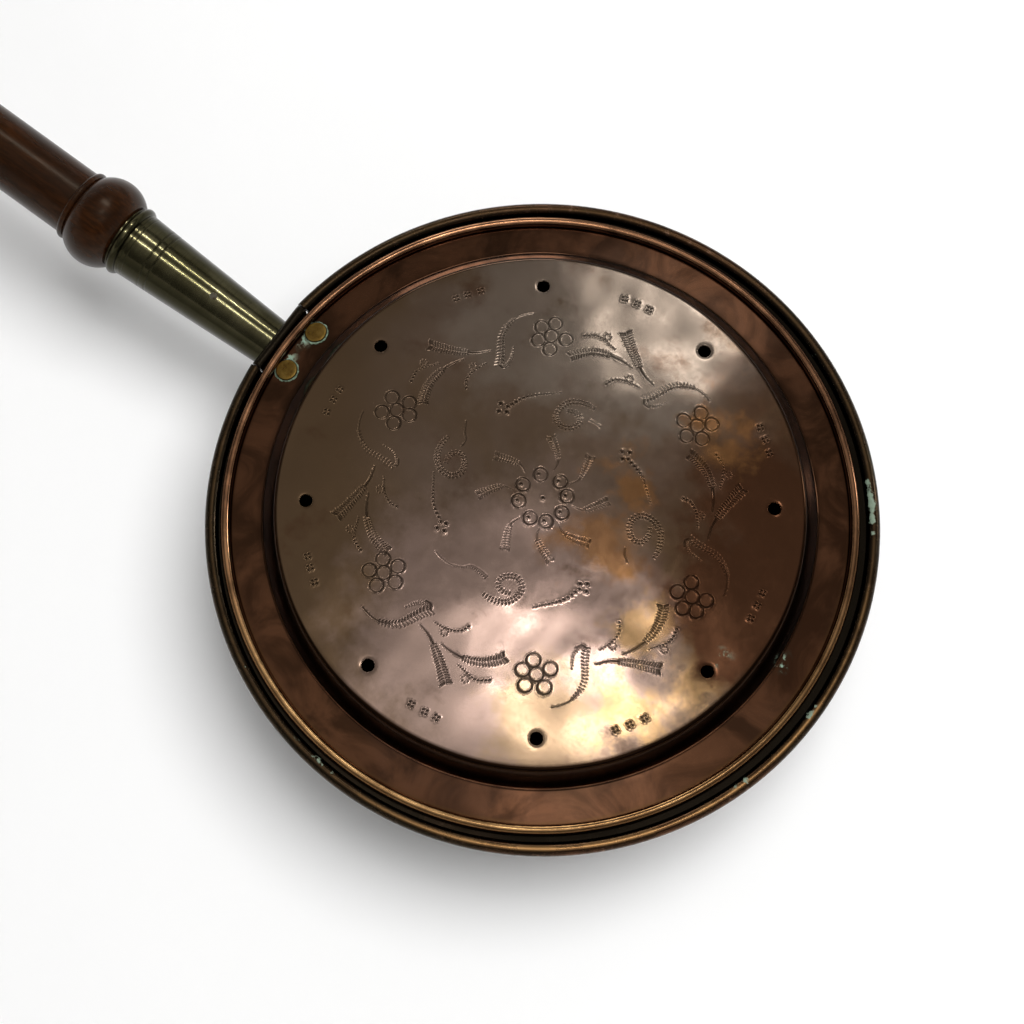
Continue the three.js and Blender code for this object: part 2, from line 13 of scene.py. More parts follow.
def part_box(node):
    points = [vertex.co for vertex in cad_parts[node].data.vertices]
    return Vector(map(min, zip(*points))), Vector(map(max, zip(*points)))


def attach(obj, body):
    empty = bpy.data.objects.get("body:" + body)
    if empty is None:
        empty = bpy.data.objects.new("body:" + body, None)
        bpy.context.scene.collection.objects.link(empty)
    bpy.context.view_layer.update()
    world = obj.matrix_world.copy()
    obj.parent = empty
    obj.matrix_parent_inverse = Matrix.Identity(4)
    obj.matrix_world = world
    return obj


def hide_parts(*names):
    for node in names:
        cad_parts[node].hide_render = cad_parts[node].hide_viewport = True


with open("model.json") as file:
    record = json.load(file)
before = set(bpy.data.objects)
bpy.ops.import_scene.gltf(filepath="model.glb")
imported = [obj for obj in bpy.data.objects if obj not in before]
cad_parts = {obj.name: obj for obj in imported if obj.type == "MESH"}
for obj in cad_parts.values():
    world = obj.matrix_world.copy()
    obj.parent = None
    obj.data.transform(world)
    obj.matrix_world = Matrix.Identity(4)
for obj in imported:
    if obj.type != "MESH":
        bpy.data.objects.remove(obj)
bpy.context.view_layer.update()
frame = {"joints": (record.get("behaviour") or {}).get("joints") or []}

MM = 0.001
chance = np.random.default_rng(11)

# ---- Sizes, in millimetres --------------------


def node_box(name):
    low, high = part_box(name)
    return np.array(low) / MM, np.array(high) / MM


HINGE_X, _, RIM_HEIGHT = np.array(frame["joints"][0]["pos_m"]) / MM
LID_LOW, LID_HIGH = node_box("lid")
LID_SHIFT = (LID_LOW[0] + LID_HIGH[0]) / 2

PAN_SHEET = 1.2
PAN_RIM = node_box("pan_bowl")[1][1]
PAN_BEAD = 2.9
PAN_LEDGE_WIDTH = 9.4
PAN_DRAFT = 5.2
PAN_CORNER = 16
LEDGE_ROUND = 1.6
UPTURN_ROUND = 1
CURL_SWEEP = 296
LID_SHEET = 0.9
LID_BEAD = 2.2
LID_BEAD_CENTRE = 139.8
LID_BEAD_HEIGHT = 77.763
BAND_SLOPE = 9.2
LID_FOOT = 122.6
LID_DISC = 116
STEP_RISE = 10.24
SHOULDER_ROUND = 2.0
FOOT_ROUND = 2.6
CROWN = 2
VENT_RADIUS = 3
VENT_CIRCLE = 102.6
VENT_TURN = -11.1
VENT_COUNT = 8

HINGE_WIDTH = 34
HINGE_SIDE_GAP = 0.8
NOTCH_FLOOR = 4
LEAF_SHEET = 1
LEAF_REACH = 21
LEAF_CORNER = 9
KNUCKLE = 2.695
WIRE = 1.28
LID_WIRE = 0.91

LID_RIVET_REACH = 12.8
LID_RIVET_SIDE = 11.1
LID_RIVET_HEAD = 4.9
LID_RIVET_RISE = 1.1

HANDLE_RISE = 8.5
SOCKET_HEIGHT = 55.5
SOCKET_LENGTH = 104
SOCKET_WALL = 2.2
SOCKET_ROOT = 11.2
SOCKET_FLARE = 4.5
SOCKET_MOUTH = 16
END_BEAD = 17.7
END_BEAD_WIDTH = 5.4
FLANGE_FACE = 2.3
FLANGE_HALF_WIDTH = 26.9
FLANGE_HALF_HEIGHT = 16.5
FLANGE_RIVET_ACROSS = 18.4
FLANGE_RIVET_UP = 8
FLANGE_RIVET_HEAD = 4.1
PIN_STATION = 51.7
PIN_TURN = 5

# The way that the picture's right and up lie on the floor, in the model's frame.
PICTURE_TURN = math.radians(215)
PICTURE_RIGHT = np.array([math.cos(PICTURE_TURN), math.sin(PICTURE_TURN), 0])
PICTURE_UP = np.array([-math.sin(PICTURE_TURN), math.cos(PICTURE_TURN), 0])

# ---- Outlines and meshes --------------------


def unit(v):
    return v / np.linalg.norm(v, axis=-1, keepdims=True)


def full_turn(sides):
    return np.linspace(0, 2 * math.pi, sides, endpoint=False)


def heading(degrees):
    return np.array([math.cos(math.radians(degrees)), math.sin(math.radians(degrees))])


def round_points(radius, turn, height):
    """Points given by their radius, turn and height about the upright axis."""
    points = radius * np.cos(turn), radius * np.sin(turn), height
    return np.stack(np.broadcast_arrays(*points), -1)


def run_of(path):
    """The length of a path up to each of its points."""
    return np.concatenate([[0], np.cumsum(np.linalg.norm(np.diff(path, axis=0), axis=1))])


def arc(centre, radius, start, end, steps):
    turn = np.radians(np.linspace(start, end, steps + 1))
    return np.stack([centre[0] + radius * np.cos(turn), centre[1] + radius * np.sin(turn)], 1)


def fillet(before, corner, after, radius, steps):
    corner = np.asarray(corner, float)
    back, on = unit(before - corner), unit(after - corner)
    half = math.acos(float(back @ on)) / 2
    centre = corner + unit(back + on) * radius / math.sin(half)
    first = corner + back * radius / math.tan(half) - centre
    last = corner + on * radius / math.tan(half) - centre
    start = math.degrees(math.atan2(first[1], first[0]))
    sweep = math.degrees(math.atan2(last[1], last[0])) - start
    sweep -= 360 * round(sweep / 360)
    return arc(centre, radius, start, start + sweep, steps)


def refined(path, step):
    """The path with points added so that none lie further apart than step."""
    out = [path[0]]
    for a, b in zip(path[:-1], path[1:]):
        count = max(1, math.ceil(np.linalg.norm(b - a) / step))
        out.extend(a + (b - a) * i / count for i in range(1, count + 1))
    return np.array(out)


def beside(path, distance):
    """The path moved to its left by a distance."""
    into = unit(path[1:] - path[:-1])
    along = unit(np.concatenate([into[:1], into[:-1] + into[1:], into[-1:]]))
    return path + distance * np.stack([-along[:, 1], along[:, 0]], 1)


def swell(low, high, base, peak, steps):
    """A round swelling or hollow of a turned profile, as (radius, station) points."""
    rise, half = peak - base, (high - low) / 2
    radius = (rise * rise + half * half) / (2 * abs(rise))
    turn = math.atan2(half, radius - abs(rise)) * np.linspace(-1, 1, steps + 1)
    reach = peak - np.sign(rise) * radius * (1 - np.cos(turn))
    return np.stack([reach, low + half + radius * np.sin(turn)], 1)


class Shape:
    """Points and faces that are gathered into one mesh."""

    def __init__(self):
        self.points = []
        self.faces = []
        self.count = 0

    def add(self, points):
        points = np.asarray(points, float)
        flat = points.reshape(-1, 3)
        self.points.append(flat)
        numbers = np.arange(self.count, self.count + len(flat)).reshape(points.shape[:-1])
        self.count += len(flat)
        return numbers

    def skin(self, numbers, closed_rows=False, closed_columns=True, turned_over=False):
        """Quads between neighbouring rows and columns of a grid of point numbers."""
        a = numbers
        if closed_columns:
            a = np.concatenate([a, a[:, :1]], 1)
        if closed_rows:
            a = np.concatenate([a, a[:1]], 0)
        quads = np.stack([a[:-1, :-1], a[:-1, 1:], a[1:, 1:], a[1:, :-1]], -1)
        if turned_over:
            quads = quads[..., ::-1]
        self.faces.extend(quads.reshape(-1, 4).tolist())

    def cap(self, row, centre):
        middle = int(self.add([centre])[0])
        self.faces.extend([int(a), int(b), middle] for a, b in zip(row, np.roll(row, -1)))


def turned_points(profile, sides, frame_matrix=None):
    """The points of a solid of revolution, one row for each (radius, height) of its profile."""
    points = round_points(profile[:, :1], full_turn(sides), profile[:, 1:])
    return points if frame_matrix is None else placed(points, frame_matrix)


def skinned(points, closed_rows=False):
    shape = Shape()
    shape.skin(shape.add(points), closed_rows=closed_rows)
    return shape


def placed(points, matrix):
    m = np.array(matrix)
    return points @ m[:3, :3].T + m[:3, 3]


def frame_along(direction, place):
    turn = Vector((0, 0, 1)).rotation_difference(Vector(direction))
    return Matrix.Translation(Vector(place)) @ turn.to_matrix().to_4x4()


def added(name, data):
    made = bpy.data.objects.new(name, data)
    bpy.context.scene.collection.objects.link(made)
    return made


def mesh_of(name, shape, finish, recalc=False):
    mesh = bpy.data.meshes.new(name)
    points = np.concatenate(shape.points) * MM
    mesh.from_pydata(points.tolist(), [], shape.faces)
    if recalc:
        solid = bmesh.new()
        solid.from_mesh(mesh)
        bmesh.ops.recalc_face_normals(solid, faces=solid.faces)
        solid.to_mesh(mesh)
        solid.free()
    mesh.shade_smooth()
    mesh.materials.append(finish)
    return mesh


def piece(name, shape, finish, body, stands_for=(), recalc=True):
    made = added(name, mesh_of(name, shape, finish, recalc))
    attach(made, body)
    if stands_for:
        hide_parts(*stands_for)
    return made


SOCKET_AXIS = (math.cos(math.radians(HANDLE_RISE)), 0, math.sin(math.radians(HANDLE_RISE)))

# ---- Materials --------------------


class Finish:
    """A procedural metal or wood, drawn in the object's own space in millimetres."""

    def __init__(self, name):
        self.material = bpy.data.materials.new(name)
        self.material.use_nodes = True
        self.nodes = self.material.node_tree.nodes
        self.links = self.material.node_tree.links
        self.shader = self.nodes["Principled BSDF"]
        self.place = self.node("TexCoord").outputs["Object"]

    def feed(self, node, values):
        """Links each input to another node's output, or sets it to a fixed value."""
        for key, value in values.items():
            if hasattr(value, "is_output"):
                self.links.new(value, node.inputs[key])
            elif value is not None:
                node.inputs[key].default_value = value

    def node(self, kind, values=None, **settings):
        made = self.nodes.new("ShaderNode" + kind)
        for key, value in settings.items():
            setattr(made, key, value)
        self.feed(made, values or {})
        return made

    def set(self, **values):
        self.feed(self.shader, {key.replace("_", " "): value for key, value in values.items()})
        return self.material

    def noise(self, size, detail=3, roughness=0.55, stretch=(1, 1, 1), distortion=0.0, shift=0.0):
        """Noise whose lumps are about size millimetres across."""
        mapping = self.node("Mapping", {
            "Vector": self.place,
            "Scale": [1 / (size * MM * s) for s in stretch],
            "Location": (shift, shift * 0.7, shift * 1.3),
        })
        return self.node("TexNoise", {
            "Vector": mapping.outputs["Vector"],
            "Scale": 1,
            "Detail": detail,
            "Roughness": roughness,
            "Distortion": distortion,
        }).outputs["Fac"]

    def ramp(self, value, low, high, start=0.0, end=1.0):
        """value carried from low..high to start..end, smoothly and without overshoot."""
        values = {"Value": value, "From Min": low, "From Max": high, "To Min": start, "To Max": end}
        return self.node("MapRange", values, interpolation_type="SMOOTHSTEP").outputs["Result"]

    def maths(self, operation, a, b=None):
        return self.node("Math", {0: a, 1: b}, operation=operation).outputs[0]

    def times(self, a, b):
        return self.maths("MULTIPLY", a, b)

    def plus(self, a, b):
        return self.maths("ADD", a, b)

    def larger(self, a, b):
        return self.maths("MAXIMUM", a, b)

    def mix(self, share, a, b):
        a, b = (value if hasattr(value, "is_output") else (*value, 1) for value in (a, b))
        return self.node("Mix", {"Factor": share, 6: a, 7: b}, data_type="RGBA").outputs[2]

    def attribute(self, name):
        return self.node("Attribute", attribute_name=name).outputs["Fac"]

    def measure(self, operation, vector):
        """What vector maths makes of the place in the object and a vector, in millimetres."""
        node = self.node("VectorMath", {0: self.place, 1: vector}, operation=operation)
        return self.maths("DIVIDE", node.outputs["Value"], MM)

    def distance(self, point):
        """Millimetres from a point of the object."""
        return self.measure("DISTANCE", [c * MM for c in point])

    def along(self, direction):
        """Millimetres along a direction of the object's space."""
        return self.measure("DOT_PRODUCT", tuple(direction))

    def normal(self):
        return self.node("NewGeometry").outputs["Normal"]

    def facing_up(self):
        """1 where the surface looks up, 0 where it is upright and -1 underneath."""
        return self.node("SeparateXYZ", {0: self.normal()}).outputs["Z"]

    def bump(self, height, depth, under=None, strength=None):
        """A bump of depth millimetres for a height from 0 to 1."""
        values = {"Height": height, "Distance": depth * MM, "Normal": under, "Strength": strength}
        return self.node("Bump", values).outputs["Normal"]


BRIGHT_COPPER = (0.44, 0.305, 0.25)
WARM_COPPER = (0.40, 0.27, 0.165)
GREY_COPPER = (0.36, 0.285, 0.225)
FILM_COPPER = (0.25, 0.172, 0.125)
OLIVE_COPPER = (0.20, 0.125, 0.070)
BROWN_COPPER = (0.12, 0.052, 0.026)
ORANGE_COPPER = (0.35, 0.165, 0.062)
GOLD_COPPER = (0.54, 0.33, 0.155)
GRIME = (0.018, 0.011, 0.007)
VERDIGRIS = (0.20, 0.33, 0.25)
RUBBED_COPPER = (0.5, 0.29, 0.2)
RIM_CROWN_HIGHLIGHT = (0.70, 0.38, 0.15)
LIP_HIGHLIGHT_TONE = (0.66, 0.52, 0.44)
SIDE_DARKENING = (0.026, 0.023, 0.015)
GAP_DIRT_AND_SHADE = (0.012, 0.009, 0.006)
BAND_TONES = (0.10, 0.043, 0.022), (0.26, 0.112, 0.056)
STEP_SHADE_TONES = (0.012, 0.006, 0.003), (0.034, 0.016, 0.008)
# The tones of the lid's rolled edge and of the painted highlight along its crown, at the top of the
# picture and at the bottom.
# The edge is painted darker at the top as shade and lighter at the bottom as light.
EDGE_SHADE_AND_LIGHT_TONES = (0.085, 0.040, 0.021), (0.20, 0.098, 0.040)
CROWN_HIGHLIGHT_TONES = (1.0, 0.50, 0.26), (0.95, 0.56, 0.24)
GROWTH_TONES = (0.07, 0.11, 0.075), (0.30, 0.37, 0.28)
# The lid's stains and painted reflections in the order in which they are laid: how strong, their tone,
# and their places in the picture's directions, each with the reach where it starts to fade and the reach
# where it ends. The brown patches on the right paint the dark room seen in the copper, and the bright,
# warm and gold ones low down paint the light seen there.
LID_STAINS_AND_REFLECTIONS = (
    (1, BROWN_COPPER, ((105, -5, 20, 75),)),
    (1, BRIGHT_COPPER, ((-10, -62, 42, 88),)),
    (0.7, GREY_COPPER, ((-4, 88, 18, 48),)),
    (1, GREY_COPPER, ((50, 80, 26, 62),)),
    (1, BROWN_COPPER, ((82, -34, 16, 42),)),
    (0.4, BROWN_COPPER, ((98, 50, 12, 30),)),
    (1, WARM_COPPER, ((8, -102, 14, 40),)),
    (0.9, GOLD_COPPER, ((38, -56, 3, 20), (67, -80, 5, 24), (30, -100, 4, 20))),
    (1, BROWN_COPPER, ((98, -58, 20, 48),)),
    (0.85, ORANGE_COPPER, ((27, -19, 4, 24), (38, 10, 2, 16), (84, 33, 2, 18))),
)


def on_lid(u, v):
    """A place on the disc, given in millimetres from its middle in the picture's directions."""
    point = u * PICTURE_RIGHT + v * PICTURE_UP
    return (LID_SHIFT + point[0], point[1], LID_HIGH[2])


def in_patches(f, places, wander):
    """1 inside wandering outlines round places on the lid, and 0 outside them."""
    shares = []
    for u, v, inner, outer in places:
        reach = f.plus(f.distance(on_lid(u, v)), wander)
        shares.append(f.ramp(reach, inner, outer, 1, 0))
    whole = shares[0]
    for share in shares[1:]:
        whole = f.larger(whole, share)
    return whole


def relief(f, lumps, scratches, specks, smooth=0.0):
    """Lumps, scratches and pits; the scratches and pits fade where smooth is 1."""
    strength = f.maths("SUBTRACT", 1, f.times(smooth, 0.85))
    normal = f.bump(lumps, 0.008)
    normal = f.bump(scratches, 0.0007, under=normal, strength=strength)
    return f.bump(specks, 0.0002, under=normal, strength=strength)


def lid_finish():
    """Polished copper under an old film: browner on the left, with painted reflections (dark brown
    patches on the right, pinker and gold ones low down), orange streaks, brown blooms, fine scratches
    and dirt in the chased lines. The step is painted dark as shade, and the rolled edge carries painted
    light and painted highlights."""
    f = Finish("lid_copper")
    broad = f.noise(60, detail=4, roughness=0.55, distortion=0.5)
    blooms = f.noise(24, detail=6, roughness=0.62, shift=3.1)
    specks = f.noise(1.7, detail=4, roughness=0.7, shift=5.7)
    wear_and_highlight = f.noise(5, detail=5, roughness=0.75, shift=8.8)
    across = f.noise(1.4, detail=1, roughness=0.5, stretch=(22, 0.8, 9), distortion=0.3)
    streaks = f.noise(34, detail=4, roughness=0.6, distortion=1.2, shift=6.4)
    wander = f.times(f.maths("SUBTRACT", blooms, 0.5), 90)
    u = f.along(PICTURE_RIGHT)
    # lower grows towards the picture's lower side, where the rolled edge and its crown are painted
    # lighter, as light.
    lower = f.ramp(f.along(PICTURE_UP), 20, -90)
    colour = f.mix(f.ramp(broad, 0.35, 0.68), FILM_COPPER, OLIVE_COPPER)
    colour = f.mix(f.ramp(u, -45, -95), colour, OLIVE_COPPER)
    # Stains and painted reflections, laid one over another: brown on the right for the dark room seen in
    # the copper, bright and gold low down for the light seen there.
    for share, tone, places in LID_STAINS_AND_REFLECTIONS:
        colour = f.mix(f.times(in_patches(f, places, wander), share), colour, tone)
    colour = f.mix(f.ramp(blooms, 0.56, 0.74, 0, 0.5), colour, BROWN_COPPER)
    colour = f.mix(f.ramp(specks, 0.66, 0.8, 0, 0.6), colour, GRIME)
    band = f.times(f.attribute("band"), 0.92)
    colour = f.mix(band, colour, f.mix(f.ramp(streaks, 0.36, 0.64), *BAND_TONES))
    # The step between the disc and the band is painted dark, as shade.
    colour = f.mix(f.attribute("step"), colour, f.mix(blooms, *STEP_SHADE_TONES))
    # The rolled edge, painted darker towards the top of the picture as shade and lighter towards its
    # bottom as light.
    edge = f.attribute("edge")
    colour = f.mix(edge, colour, f.mix(lower, *EDGE_SHADE_AND_LIGHT_TONES))
    # A painted highlight along the crown of the rolled edge, broken in patches and stronger towards the
    # picture's left.
    crown_highlight_share = f.times(f.ramp(blooms, 0.38, 0.6, 0.3, 1), f.ramp(u, 70, -70, 0.45, 1))
    crown_highlight = f.times(f.attribute("crown_highlight"), crown_highlight_share)
    colour = f.mix(crown_highlight, colour, f.mix(lower, *CROWN_HIGHLIGHT_TONES))
    # A painted highlight along the inner lip of the rolled edge, broken in patches.
    lip = f.times(f.attribute("lip"), f.ramp(blooms, 0.44, 0.6, 0.1, 1))
    colour = f.mix(lip, colour, LIP_HIGHLIGHT_TONE)
    rough = f.ramp(wear_and_highlight, 0.3, 0.75, 0.13, 0.20)
    groove = f.attribute("groove")
    colour = f.mix(f.times(groove, 0.82), colour, GRIME)
    rough = f.plus(rough, f.times(groove, 0.3))
    spots = f.ramp(f.noise(6, detail=4, roughness=0.7, shift=9.2), 0.5, 0.62)
    green = f.times(spots, f.attribute("damp"))
    colour = f.mix(green, colour, VERDIGRIS)
    rough = f.plus(rough, f.times(green, 0.5))
    metal = f.ramp(green, 0.1, 0.9, 1, 0)
    lumps = f.noise(8, detail=2, shift=1.7)
    normal = relief(f, lumps, across, specks, smooth=edge)
    return f.set(Base_Color=colour, Roughness=rough, Metallic=metal, Normal=normal)


def brown_copper(name, film, dark, shine, green_from):
    """Copper with a dark brown film, rubbed here and there, and verdigris in patches; darker towards the
    picture's left and far right, with the gap inside the rim darkened as dirt and painted shade and a
    painted highlight along the rim's crown where they are marked.
    """
    f = Finish(name)
    patches = f.noise(19, detail=5, roughness=0.62, shift=3.1)
    specks = f.noise(1.5, detail=4, roughness=0.7, shift=5.7)
    scratches = f.noise(1.6, detail=2, stretch=(9, 0.7, 8), distortion=0.4)
    colour = f.mix(f.ramp(patches, 0.34, 0.66), film, dark)
    wear_and_highlight = f.ramp(f.noise(4, detail=4, roughness=0.7, shift=7.3), 0.56, 0.7, 0, shine)
    colour = f.mix(wear_and_highlight, colour, RUBBED_COPPER)
    colour = f.mix(f.ramp(specks, 0.6, 0.78, 0, 0.7), colour, GRIME)
    # Darker towards the picture's left and its far right.
    u = f.along(PICTURE_RIGHT)
    sides = f.larger(f.ramp(u, 30, -70, 0, 0.8), f.ramp(u, 70, 120, 0, 0.7))
    colour = f.mix(sides, colour, SIDE_DARKENING)
    # The gap inside the rim is darkened, partly as dirt and partly as painted shade.
    colour = f.mix(f.attribute("gap_dirt_and_shade"), colour, GAP_DIRT_AND_SHADE)
    # A painted highlight along the crown of the rim, broken in patches.
    crown_highlight = f.times(f.attribute("crown_highlight"), f.ramp(patches, 0.36, 0.6, 0.35, 1))
    colour = f.mix(crown_highlight, colour, RIM_CROWN_HIGHLIGHT)
    growth = f.noise(9, detail=6, roughness=0.72, shift=4.4)
    growth = f.plus(growth, f.times(f.attribute("damp"), 0.3))
    green = f.ramp(growth, green_from, green_from + 0.06)
    colour = f.mix(green, colour, f.mix(specks, *GROWTH_TONES))
    rough = f.ramp(patches, 0.3, 0.75, 0.2, 0.34)
    rough = f.plus(rough, f.times(green, 0.5))
    metal = f.ramp(green, 0.1, 0.9, 1, 0)
    normal = f.bump(green, 0.08, under=relief(f, patches, scratches, specks))
    return f.set(Base_Color=colour, Roughness=rough, Metallic=metal, Normal=normal)


lid_copper = lid_finish()
pan_copper = brown_copper("pan_copper", (0.11, 0.052, 0.028), (0.040, 0.024, 0.014), 0.3, 0.68)
hinge_copper = brown_copper("hinge_copper", (0.085, 0.05, 0.032), (0.05, 0.028, 0.018), 0.25, 0.66)
rivet_copper = brown_copper("rivet_copper", (0.24, 0.12, 0.07), (0.14, 0.065, 0.035), 0.5, 0.75)


def turned_brass():
    """Dark olive brass with the fine marks of the lathe, which draw each highlight out lengthways, and
    painted shade on its sides and underside.
    """
    f = Finish("socket_brass")
    film = f.noise(22, detail=5, roughness=0.6)
    dirt = f.noise(2.0, detail=5, roughness=0.7, shift=2.2)
    colour = f.mix(f.ramp(film, 0.35, 0.7), (0.10, 0.090, 0.045), (0.19, 0.172, 0.095))
    colour = f.mix(f.ramp(dirt, 0.58, 0.78, 0, 0.6), colour, (0.03, 0.027, 0.016))
    # Painted shade: darker where the surface turns away from the top.
    colour = f.mix(f.ramp(f.facing_up(), 0.62, 0.985, 0.9, 0), colour, (0.022, 0.020, 0.010))
    lathe = {"W": f.maths("DIVIDE", f.along(SOCKET_AXIS), 0.9), "Scale": 1, "Detail": 1}
    marks = f.node("TexNoise", lathe, noise_dimensions="1D").outputs["Fac"]
    colour = f.mix(f.ramp(marks, 0.5, 0.75, 0, 0.35), colour, (0.04, 0.036, 0.02))
    normal = f.bump(dirt, 0.003, under=f.bump(marks, 0.004))
    round_it = f.node("VectorMath", {0: SOCKET_AXIS, 1: f.normal()}, operation="CROSS_PRODUCT")
    rough = f.ramp(dirt, 0.3, 0.8, 0.19, 0.27)
    return f.set(Base_Color=colour, Roughness=rough, Metallic=1.0, Normal=normal,
                 Anisotropic=0.85, Anisotropic_Rotation=0.25, Tangent=round_it.outputs["Vector"])


def rivet_brass():
    f = Finish("rivet_brass")
    film = f.noise(4, detail=4, roughness=0.65)
    specks = f.noise(0.7, detail=3, roughness=0.7, shift=4.1)
    colour = f.mix(f.ramp(film, 0.35, 0.7), (0.34, 0.19, 0.040), (0.50, 0.31, 0.075))
    colour = f.mix(f.ramp(specks, 0.58, 0.75, 0, 0.7), colour, (0.06, 0.04, 0.015))
    # The head's edge, which leans away from its flat top, is painted dark as shade.
    colour = f.mix(f.ramp(f.facing_up(), 0.95, 0.8, 0, 0.92), colour, (0.03, 0.022, 0.010))
    rough = f.ramp(film, 0.3, 0.8, 0.26, 0.40)
    return f.set(Base_Color=colour, Roughness=rough, Metallic=1.0, Normal=f.bump(film, 0.03))


def iron(name, dark, rust_tone, metal):
    f = Finish(name)
    rust = f.noise(1.5, detail=5, roughness=0.7)
    colour = f.mix(f.ramp(rust, 0.45, 0.7), dark, rust_tone)
    rough = f.ramp(rust, 0.3, 0.7, 0.34, 0.7)
    return f.set(Base_Color=colour, Roughness=rough, Metallic=metal, Normal=f.bump(rust, 0.05))


def dark_wood():
    """Close-grained hardwood, nearly black with age and hands, under an old polish."""
    f = Finish("wood")
    along = [1 + 7 * abs(c) for c in SOCKET_AXIS]
    grain = f.noise(1.3, detail=6, roughness=0.6, stretch=along, distortion=0.25)
    broad = f.noise(20, detail=4, stretch=(3, 1, 1), shift=2.9)
    colour = f.mix(f.ramp(grain, 0.36, 0.66), (0.014, 0.0048, 0.0015), (0.030, 0.0094, 0.0024))
    colour = f.mix(f.ramp(broad, 0.4, 0.68, 0, 0.7), colour, (0.010, 0.0045, 0.0025))
    rough = f.ramp(broad, 0.3, 0.7, 0.17, 0.27)
    return f.set(Base_Color=colour, Roughness=rough, Normal=f.bump(grain, 0.005), Specular_IOR_Level=0.2,
                 Specular_Tint=(1, 0.82, 0.62, 1))


socket_brass = turned_brass()
rivet_metal = rivet_brass()
rim_iron = iron("rim_iron", (0.09, 0.08, 0.075), (0.16, 0.075, 0.035), 0.8)
pin_iron = iron("pin_iron", (0.24, 0.22, 0.17), (0.14, 0.10, 0.06), 1.0)
wood = dark_wood()

# ---- The chased pattern --------------------
# Drawn in millimetres from the disc's middle, x to the picture's right and y up the picture.

PATTERN_REACH = 112
PITCH = 0.1


class Chasing:
    """The depth that each tool mark leaves, on a fine square grid."""

    def __init__(self):
        self.axis = np.arange(-PATTERN_REACH, PATTERN_REACH, PITCH)
        self.sunk = np.zeros((len(self.axis), len(self.axis)), np.float32)
        self.lip = np.zeros_like(self.sunk)

    def mark(self, low, high, depth, share):
        """Sinks the points between two corners. share gives 0 at a mark's middle and 1 at its edge."""
        i, j = (np.clip(((np.array(low) + PATTERN_REACH) / PITCH).astype(int), 0, None))
        k, m = ((np.array(high) + PATTERN_REACH) / PITCH).astype(int) + 1
        x, y = np.meshgrid(self.axis[i:k], self.axis[j:m], indexing="ij")
        t = share(x, y)
        sunk = -depth * np.clip(1 - t * t, 0, 1)
        lip = 0.3 * depth * np.clip(1 - np.abs(t - 1.45) / 0.45, 0, 1) ** 2
        self.sunk[i:k, j:m] = np.minimum(self.sunk[i:k, j:m], sunk)
        self.lip[i:k, j:m] = np.maximum(self.lip[i:k, j:m], lip)

    def dot(self, x, y, radius, depth=0.4):
        reach = radius * 2
        self.mark(
            (x - reach, y - reach),
            (x + reach, y + reach),
            depth,
            lambda px, py: np.hypot(px - x, py - y) / radius,
        )

    def ring(self, x, y, radius, depth=0.32, lean=0.0):
        """A ring punch, struck a little harder on the side that it leans to."""
        reach = radius + 1.2

        def share(px, py):
            turn = np.arctan2(py - y, px - x)
            half = 0.36 * (1 + 0.35 * np.cos(turn - lean))
            return np.abs(np.hypot(px - x, py - y) - radius) / half

        self.mark((x - reach, y - reach), (x + reach, y + reach), depth, share)

    def stroke(self, a, b, half_a, half_b, depth=0.26):
        a, b = np.asarray(a, float), np.asarray(b, float)
        reach = 2 * max(half_a, half_b)
        span = b - a

        def share(px, py):
            along = ((px - a[0]) * span[0] + (py - a[1]) * span[1]) / max(span @ span, 1e-6)
            along = np.clip(along, 0, 1)
            gap = np.hypot(px - a[0] - along * span[0], py - a[1] - along * span[1])
            return gap / (half_a + (half_b - half_a) * along)

        self.mark(np.minimum(a, b) - reach, np.maximum(a, b) + reach, depth, share)

    def sample(self, grid, x, y):
        """A grid's values at points given in the picture's directions."""
        u = np.clip((x + PATTERN_REACH) / PITCH, 0, len(self.axis) - 1.001)
        v = np.clip((y + PATTERN_REACH) / PITCH, 0, len(self.axis) - 1.001)
        i, j = u.astype(int), v.astype(int)
        s, t = u - i, v - j
        near = grid[i, j] * (1 - t) + grid[i, j + 1] * t
        far = grid[i + 1, j] * (1 - t) + grid[i + 1, j + 1] * t
        return near * (1 - s) + far * s


def curve(points, step):
    """Places and directions every step along a smooth line through the points."""
    points = np.asarray(points, float)
    ends = np.concatenate([2 * points[:1] - points[1:2], points, 2 * points[-1:] - points[-2:-1]])
    t = np.linspace(0, 1, 16, endpoint=False)[:, None]
    fine = []
    for a, b, c, d in zip(ends[:-3], ends[1:-2], ends[2:-1], ends[3:]):
        cubic = 3 * (b - c) + d - a
        fine.append(b + 0.5 * t * (c - a + t * (2 * a - 5 * b + 4 * c - d + t * cubic)))
    fine = np.concatenate([*fine, points[-1:]])
    run = run_of(fine)
    stations = np.linspace(0, run[-1], max(2, round(run[-1] / step)) + 1)
    places = np.stack([np.interp(stations, run, fine[:, k]) for k in (0, 1)], 1)
    return places, unit(np.gradient(places, axis=0))


def turned_by(points, degrees):
    c, s = heading(degrees)
    return np.asarray(points, float) @ np.array([[c, s], [-s, c]])


chasing = Chasing()
HATCH = 1.05  # spacing of the hatching strokes
FINE = 0.24  # half width of a fine stroke
TWO_ROWS = ((1, 1), (-1, 0.7))  # the side of each row of hatching, and how hard it was struck


def line(points, half=FINE, depth=0.2):
    places, _ = curve(points, 0.8)
    for a, b in zip(places[:-1], places[1:]):
        chasing.stroke(a, b, half, half, depth)


